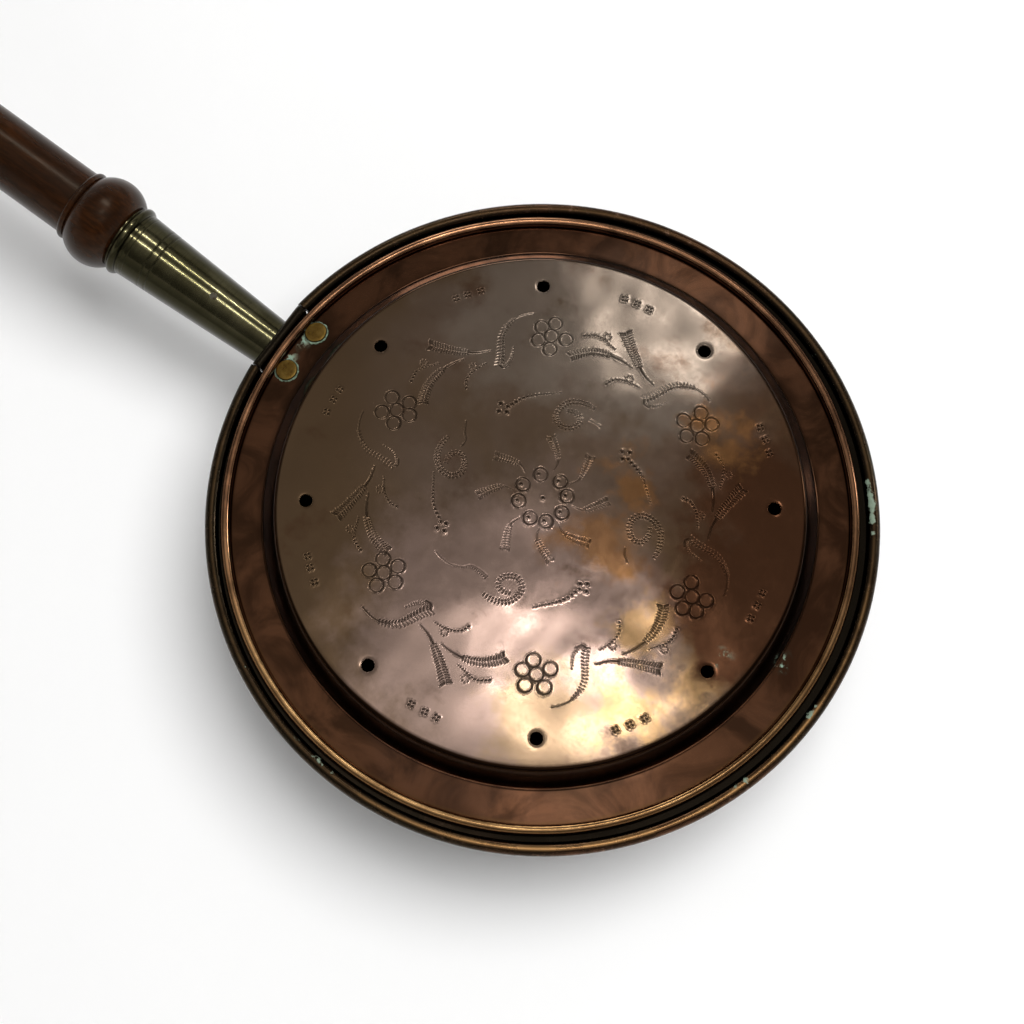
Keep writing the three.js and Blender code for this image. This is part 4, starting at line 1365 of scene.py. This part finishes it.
def hinge_strap():
    pin = np.array([HINGE_X, RIM_HEIGHT])
    middle = KNUCKLE - LEAF_SHEET / 2
    curl = arc(pin, middle, -90 - BAND_SLOPE, CURL_SWEEP - 90 - BAND_SLOPE, 28)
    inner_x = HINGE_X - LEAF_REACH
    inner = np.array([inner_x, curl[0][1] + (curl[0][0] - inner_x) * math.tan(slope)])
    path = np.concatenate([refined(np.array([inner, curl[0]]), 0.9)[:-1], curl])
    upper, lower = beside(path, LEAF_SHEET / 2), beside(path, -LEAF_SHEET / 2)
    run = run_of(path)
    short = np.clip(LEAF_CORNER - run, 0, LEAF_CORNER)
    half = HINGE_WIDTH / 2 - LEAF_CORNER + np.sqrt(LEAF_CORNER**2 - short**2)
    shape = Shape()
    across = np.linspace(-1, 1, 25)
    bevel = 0.12
    rows = []
    for top, under, reach in zip(upper, lower, half):
        flat = across * (reach - bevel)
        side = [top + (under - top) * level for level in (bevel, 1 - bevel)]
        rows.append(
            [(top[0], y, top[1]) for y in flat]
            + [(x, reach, z) for x, z in side]
            + [(under[0], y, under[1]) for y in flat[::-1]]
            + [(x, -reach, z) for x, z in side[::-1]]
        )
    numbers = shape.add(rows)
    shape.skin(numbers)
    shape.faces.append(numbers[0].tolist())
    shape.faces.append(numbers[-1].tolist())
    return shape


strap = piece("hinge_strap", hinge_strap(), hinge_copper, "lid", ("hinge_leaf",))
strap.data.set_sharp_from_angle(angle=math.radians(50))


def lid_rivet_frame(side):
    square = np.array([math.sin(slope), 0, math.cos(slope)])
    inwards = np.array([-math.cos(slope), 0, math.sin(slope)])
    place = np.array([HINGE_X, side * LID_RIVET_SIDE, RIM_HEIGHT])
    place = place + inwards * LID_RIVET_REACH + square * (LEAF_SHEET - KNUCKLE)
    return frame_along(square, place)


RIVET_SIDES = 64


def lid_rivet(side):
    """A flat rivet, its head a little out of round and its edge rubbed soft."""
    grip = 1.65
    profile = np.array([
        (0, -2.3), (2.6, -2.3), (3.4, -2.05), (3.6, -1.7), (3.6, -1.3), (2.2, -1.3), (2.2, grip),
        (4.5, grip), (4.85, grip + 0.12), (LID_RIVET_HEAD, grip + 0.45), (4.72, grip + 0.8),
        (4.3, grip + 1.0), (3.4, grip + LID_RIVET_RISE), (1.6, grip + LID_RIVET_RISE + 0.02),
        (0, grip + LID_RIVET_RISE + 0.03),
    ])
    turn = full_turn(RIVET_SIDES)
    points = turned_points(profile, RIVET_SIDES)
    oval = 1.05 + 0.018 * np.cos(2 * turn + side) + 0.008 * np.cos(5 * turn + 2 * side)
    points[..., 0] *= oval
    points[..., 1] *= oval
    return skinned(placed(points, lid_rivet_frame(side)))


for side, name in ((1, "left"), (-1, "right")):
    piece(f"rivet_{name}", lid_rivet(side), rivet_metal, "lid", (f"lid_rivet_{name}",))


def crust():
    f = Finish("verdigris_crust")
    grain = f.noise(1.2, detail=5, roughness=0.7)
    colour = f.mix(f.ramp(grain, 0.35, 0.65), (0.035, 0.05, 0.03), (0.26, 0.35, 0.25))
    return f.set(Base_Color=colour, Roughness=f.ramp(grain, 0.2, 0.8, 0.6, 0.95),
                 Normal=f.bump(grain, 0.2))


crust_finish = crust()


def crust_ring(side):
    """The thin crust of verdigris that has crept out from under a rivet's head."""
    turn = full_turn(90)
    wander = ragged(turn, 20 + side)
    inner = 4.8
    outer = 5.65 + 0.35 * wander
    floor = 1.35
    rows = []
    for share, lift in ((0, 0.0), (0, 0.42), (0.35, 0.5), (0.75, 0.4), (1, 0.0)):
        r = inner + (outer - inner) * share
        rows.append(round_points(r, turn, floor + lift + 0.05 * wander))
    return skinned(placed(np.array(rows), lid_rivet_frame(side)))


for side, name in ((1, "left"), (-1, "right")):
    piece(f"crust_{name}", crust_ring(side), crust_finish, "lid")

# ---- The socket, its rivets and pin --------------------

socket_place = (wall_outer(SOCKET_HEIGHT), 0, SOCKET_HEIGHT)
socket_frame = Matrix.Translation(Vector(socket_place)) @ Matrix.Rotation(
    math.radians(90 - HANDLE_RISE), 4, "Y")
taper_start = FLANGE_FACE + SOCKET_FLARE
taper_end = SOCKET_LENGTH - END_BEAD_WIDTH


def taper(s):
    return SOCKET_ROOT + (SOCKET_MOUTH - SOCKET_ROOT) * (s - taper_start) / (taper_end - taper_start)


def groove_at(station, half, depth):
    """A turned line, with points close beside it that keep its edges crisp."""
    marks = ((-2.2, 0), (-1.1, 0), (-0.9, 0.15), (-0.3, 1), (0.3, 1), (0.9, 0.15), (1.1, 0), (2.2, 0))
    return [(taper(station + k * half) - depth * sunk, station + k * half) for k, sunk in marks]


def socket_shell():
    flare = np.array([SOCKET_ROOT + SOCKET_FLARE, taper_start])
    lines = [p for s in (82.2, 85.8) for p in groove_at(s, 0.4, 0.35)]
    fine = [p for s in (taper_end - 3.6, taper_end - 1.5) for p in groove_at(s, 0.25, 0.15)]
    outside = np.concatenate([
        arc(flare, SOCKET_FLARE, 262, 180, 10),
        refined(np.array([(taper(taper_start), taper_start), lines[0]]), 6)[1:-1],
        np.array(lines),
        np.array(fine),
        np.array([(taper(taper_end - k), taper_end - k) for k in (0.5, 0.08)]),
        np.array([(taper(taper_end) - 0.25, taper_end)]),
        swell(taper_end + 0.08, SOCKET_LENGTH - 0.9, SOCKET_MOUTH + 0.15, END_BEAD, 14),
        np.array([(SOCKET_MOUTH - 0.15, SOCKET_LENGTH - 0.85), (SOCKET_MOUTH, SOCKET_LENGTH - 0.6),
                  (SOCKET_MOUTH - 0.1, SOCKET_LENGTH)]),
    ])
    bore_low, bore_high = 3.0, SOCKET_LENGTH
    inside = refined(np.array([
        (taper(bore_high) - SOCKET_WALL, bore_high), (taper(bore_low) - SOCKET_WALL, bore_low)]), 10)
    rows = np.concatenate([outside, inside])
    shape = skinned(turned_points(rows, 128, socket_frame), closed_rows=True)
    flange(shape)
    return shape


# The flange's section: share of its reach, and distance from the wall.
FLANGE_SECTION = (
    (0.3, 2.3), (0.7, 2.3), (0.93, 2.25), (0.985, 1.95), (1, 1.3), (0.99, 0.35), (0.3, 0.3),
)


def flange(shape):
    """An oval plate bent to the pan's wall, thinner towards its edge."""
    turn = full_turn(96)
    rows = []
    for reach, lift in FLANGE_SECTION:
        across = FLANGE_HALF_WIDTH * reach * np.cos(turn)
        z = SOCKET_HEIGHT + FLANGE_HALF_HEIGHT * reach * np.sin(turn)
        radius = wall_outer(z) + lift
        angle = np.arcsin(across / radius)
        rows.append(round_points(radius, angle, z))
    shape.skin(shape.add(rows), closed_rows=True)


socket = piece("socket_shell", socket_shell(), socket_brass, "pan", ("handle_socket",))
socket.data.set_sharp_from_angle(angle=math.radians(60))


def flange_rivet(across, up):
    z = SOCKET_HEIGHT + up
    reach = wall_outer(z)
    angle = math.asin(across / reach)
    out = (math.cos(draft) * math.cos(angle), math.cos(draft) * math.sin(angle), -math.sin(draft))
    place = (reach * math.cos(angle), reach * math.sin(angle), z)
    low, high = -PAN_SHEET - 0.3, FLANGE_FACE + 0.3
    head = FLANGE_RIVET_HEAD
    profile = np.array([
        (0, low - 1.2), (head * 0.6, low - 1.05), (head * 0.95, low - 0.4), (head, low), (2, low),
        (2, high), (head, high), (head * 0.96, high + 0.5), (head * 0.8, high + 1.1),
        (head * 0.5, high + 1.6), (head * 0.2, high + 1.78), (0, high + 1.8),
    ])
    return skinned(turned_points(profile, 40, frame_along(out, place)))


quarters = ((1, 1), (-1, 1), (-1, -1), (1, -1))
for k, (across, up) in enumerate(quarters):
    shape = flange_rivet(across * FLANGE_RIVET_ACROSS, up * FLANGE_RIVET_UP)
    stands_for = (f"socket_rivet_{k + 1}",)
    piece(f"flange_rivet_{k + 1}", shape, rivet_copper, "pan", stands_for)

# ---- The handle --------------------

BULB_LENGTH, BULB = 23.2, 22.1
NECK = 17
COLLAR_LENGTH, COLLAR = 3.4, 17.9
ROD, ROD_LENGTH = 16.3, 118
SHAFT, SHAFT_END, SHAFT_LENGTH = 14.6, 13.4, 452
TURNED_BEAD, BEAD_LENGTH = 17.6, 8
COVE, COVE_LENGTH = 12.2, 7
FINIAL, FINIAL_LENGTH = 16.95, 33.9
FINIAL_NECK, FINIAL_NECK_LENGTH = 9.5, 9


def handle_profile():
    shoulder = SOCKET_LENGTH + 0.3
    collar_low = shoulder + BULB_LENGTH
    rod_low = collar_low + COLLAR_LENGTH
    rod_high = rod_low + ROD_LENGTH
    shaft_low = rod_high + BEAD_LENGTH + COVE_LENGTH
    shaft_high = shaft_low + SHAFT_LENGTH
    last_bead = shaft_high + COVE_LENGTH
    neck_low = last_bead + BEAD_LENGTH
    finial_low = neck_low + FINIAL_NECK_LENGTH
    tenon = 14
    runs = [
        np.array([(0.01, tenon), (taper(tenon) - SOCKET_WALL - 0.3, tenon)]),
        np.array([(taper(shoulder) - SOCKET_WALL - 0.3, shoulder)]),
        swell(shoulder, collar_low, NECK, BULB, 22),
        swell(collar_low, rod_low, ROD, COLLAR, 9),
        np.array([(ROD, rod_high)]),
        swell(rod_high, rod_high + BEAD_LENGTH, ROD, TURNED_BEAD, 12),
        swell(rod_high + BEAD_LENGTH, shaft_low, SHAFT, COVE, 12),
        np.array([((SHAFT + SHAFT_END) / 2, (shaft_low + shaft_high) / 2)]),
        swell(shaft_high, last_bead, SHAFT_END, COVE, 12),
        swell(last_bead, neck_low, SHAFT_END, TURNED_BEAD, 12),
        swell(neck_low, finial_low, SHAFT_END, FINIAL_NECK, 12),
        swell(finial_low, finial_low + FINIAL_LENGTH, FINIAL_NECK, FINIAL, 22)[1:],
        np.array([(0.01, finial_low + FINIAL_LENGTH)]),
    ]
    return refined(np.concatenate(runs), 6)


def handle_wood():
    return skinned(turned_points(handle_profile(), 80, socket_frame))


handle = piece("handle_wood", handle_wood(), wood, "pan", ("handle",))
handle.data.set_sharp_from_angle(angle=math.radians(55))


def pin_head():
    turn = math.radians(PIN_TURN)
    out = np.array([-math.cos(turn), math.sin(turn), 0])
    place = out * taper(PIN_STATION) + np.array([0, 0, PIN_STATION])
    matrix = socket_frame @ frame_along(out, place)
    profile = np.array([
        (0, -12), (1.1, -12), (1.1, 0.1), (1.7, 0.15), (1.65, 0.5), (1.1, 0.8), (0, 0.9),
    ])
    return skinned(turned_points(profile, 24, matrix))


piece("pin_head", pin_head(), pin_iron, "pan", ("handle_pin",))

# ---- Floor, lights and camera --------------------

FLOOR_RADIUS = 2.4
FLOOR_GLOW = 0.05
WALL_HEIGHT = 1.9


def studio():
    """A round pale floor that curves up into a low wall."""
    bend = 0.7
    profile = np.concatenate([
        np.array([(0.0, 0.0), (FLOOR_RADIUS * 0.5, 0.0)]),
        arc((FLOOR_RADIUS, bend), bend, 270, 360, 12),
        np.array([(FLOOR_RADIUS + bend, WALL_HEIGHT)]),
    ]) / MM
    shape = skinned(turned_points(profile, 96))
    f = Finish("studio_floor")
    colour = f.mix(f.noise(180, detail=2), (0.93, 0.93, 0.93), (0.95, 0.95, 0.95))
    rays = f.node("LightPath").outputs
    seen = f.larger(rays["Is Camera Ray"], rays["Is Glossy Ray"])
    glow = f.times(f.larger(seen, rays["Is Transmission Ray"]), FLOOR_GLOW)
    finish = f.set(Base_Color=colour, Roughness=0.9, Emission_Strength=glow)
    added("studio_floor", mesh_of("studio_floor", shape, finish))


studio()


def lamp(name, right, up, height, size, power,
         mirrored=True, width=None, side=PICTURE_RIGHT, only_on=()):
    """A soft lamp at a place given in metres to the picture's right and up, and above the floor.
    One that isn't mirrored gives light without showing in the metal, as behind a polarising sheet."""
    light = bpy.data.lights.new(name, "AREA")
    light.shape = "RECTANGLE" if only_on else "ELLIPSE" if width else "DISK"
    light.size = size
    if width:
        light.size_y = width
    light.energy = power
    made = added(name, light)
    place = Vector(PICTURE_RIGHT) * right + Vector(PICTURE_UP) * up + Vector((0, 0, height))
    made.location = place
    made.rotation_mode = "QUATERNION"
    back = (place - Vector((0, 0, 0.05))).normalized()
    up = back.cross(Vector(side)).normalized()
    made.rotation_quaternion = Matrix((up.cross(back), up, back)).transposed().to_quaternion()
    made.visible_glossy = mirrored
    if only_on:
        chosen = bpy.data.collections.new(name + "_on")
        for thing in only_on:
            chosen.objects.link(thing)
        made.light_linking.receiver_collection = chosen


lamp("key", 0.52, 0.2, 2.0, 1.4, 36.5, mirrored=False)
lamp("fill_left", -2.1, 0.4, 1.25, 0.9, 2, mirrored=False)
lamp("fill_low", 0.5, -2.2, 1.3, 0.9, 2, mirrored=False)
# The lamp that makes the bright streak on the disc lies a little askew in the picture.
askew = 0.94 * PICTURE_RIGHT - 0.34 * PICTURE_UP
lamp("ceiling_low", 0.13, 0.15, 2.0, 0.32, 1.0, width=0.16, side=askew)
lamp("ceiling_wide", -0.14, 0.10, 2.0, 0.6, 0.29, width=0.34)
lamp("ceiling_high", 0.36, 1.0, 2.0, 0.26, 0.63)
lamp("ceiling_front", 0.22, -0.64, 2.0, 0.8, 0.5, width=0.4)
lamp("ceiling_far", 0.6, 1.5, 2.0, 1.0, 0.8, width=0.7)
# Two narrow lamps over the handle draw the fine lines along its brass, and a wider one that on its
# wood. Two windows, low at the back and at the right, draw the lines on the copper's rolled edges.
lamp("strip_near", -0.296, 0.308, 2.0, 1.0, 6, width=0.02, side=(1, 0, 0), only_on=(socket,))
lamp("strip_far", 0.303, 1.17, 2.0, 1.0, 8, width=0.02, side=(1, 0, 0), only_on=(socket,))
lamp("strip_soft", 0.25, 1.0, 2.0, 1.1, 5, width=0.2, side=(1, 0, 0), only_on=(handle,))
lamp("window_back", -0.4, 2.4, 1.3, 1.2, 7, width=0.4, only_on=(lid_piece, pan_piece))
lamp("window_right", 2.4, 0.9, 1.3, 0.3, 7, width=0.4, side=PICTURE_UP, only_on=(lid_piece, pan_piece))

world = bpy.data.worlds.new("studio")
world.use_nodes = True
sky = world.node_tree
direction = sky.nodes.new("ShaderNodeTexCoord")
parts = sky.nodes.new("ShaderNodeSeparateXYZ")
level = sky.nodes.new("ShaderNodeMapRange")
level.interpolation_type = "SMOOTHSTEP"
sky.links.new(direction.outputs["Generated"], parts.inputs[0])
sky.links.new(parts.outputs["Z"], level.inputs["Value"])
for key, number in (("From Min", 0.74), ("From Max", 0.99), ("To Min", 0.13), ("To Max", 0.32)):
    level.inputs[key].default_value = number
sky.links.new(level.outputs["Result"], sky.nodes["Background"].inputs["Strength"])
sky.nodes["Background"].inputs["Color"].default_value = (1, 0.98, 0.95, 1)
bpy.context.scene.world = world
bpy.context.scene.view_settings.view_transform = "Standard"

PICTURE_SIZE = 1024
FOCAL_PIXELS = 1796
RIM_CENTRE_PIXEL = (542.1, 514.4)
CAMERA_DISTANCE = 799
CAMERA_TILT = math.radians(15.3)
CAMERA_SWING = math.radians(1.1)


def photo_camera():
    """The camera stands over the picture's lower side and looks down at the middle of the rim."""
    tilt, swing = CAMERA_TILT, CAMERA_SWING
    back = (
        PICTURE_RIGHT * math.sin(tilt) * math.sin(swing)
        - PICTURE_UP * math.sin(tilt) * math.cos(swing)
        + np.array([0, 0, math.cos(tilt)])
    )
    right = unit(np.cross(PICTURE_UP, back))
    up = np.cross(back, right)
    off_right = (RIM_CENTRE_PIXEL[0] - PICTURE_SIZE / 2) * CAMERA_DISTANCE / FOCAL_PIXELS
    off_up = -(RIM_CENTRE_PIXEL[1] - PICTURE_SIZE / 2) * CAMERA_DISTANCE / FOCAL_PIXELS
    rim_centre = np.array([0, 0, RIM_HEIGHT])
    place = rim_centre - off_right * right - off_up * up + CAMERA_DISTANCE * back
    lens = bpy.data.cameras.new("photo_camera")
    lens.sensor_width = 36
    lens.lens = FOCAL_PIXELS / PICTURE_SIZE * lens.sensor_width
    lens.clip_start = 0.01
    made = added("photo_camera", lens)
    turn = Matrix((right, up, back)).transposed().to_4x4()
    made.matrix_world = Matrix.Translation(Vector(place * MM)) @ turn
    bpy.context.scene.camera = made


photo_camera()
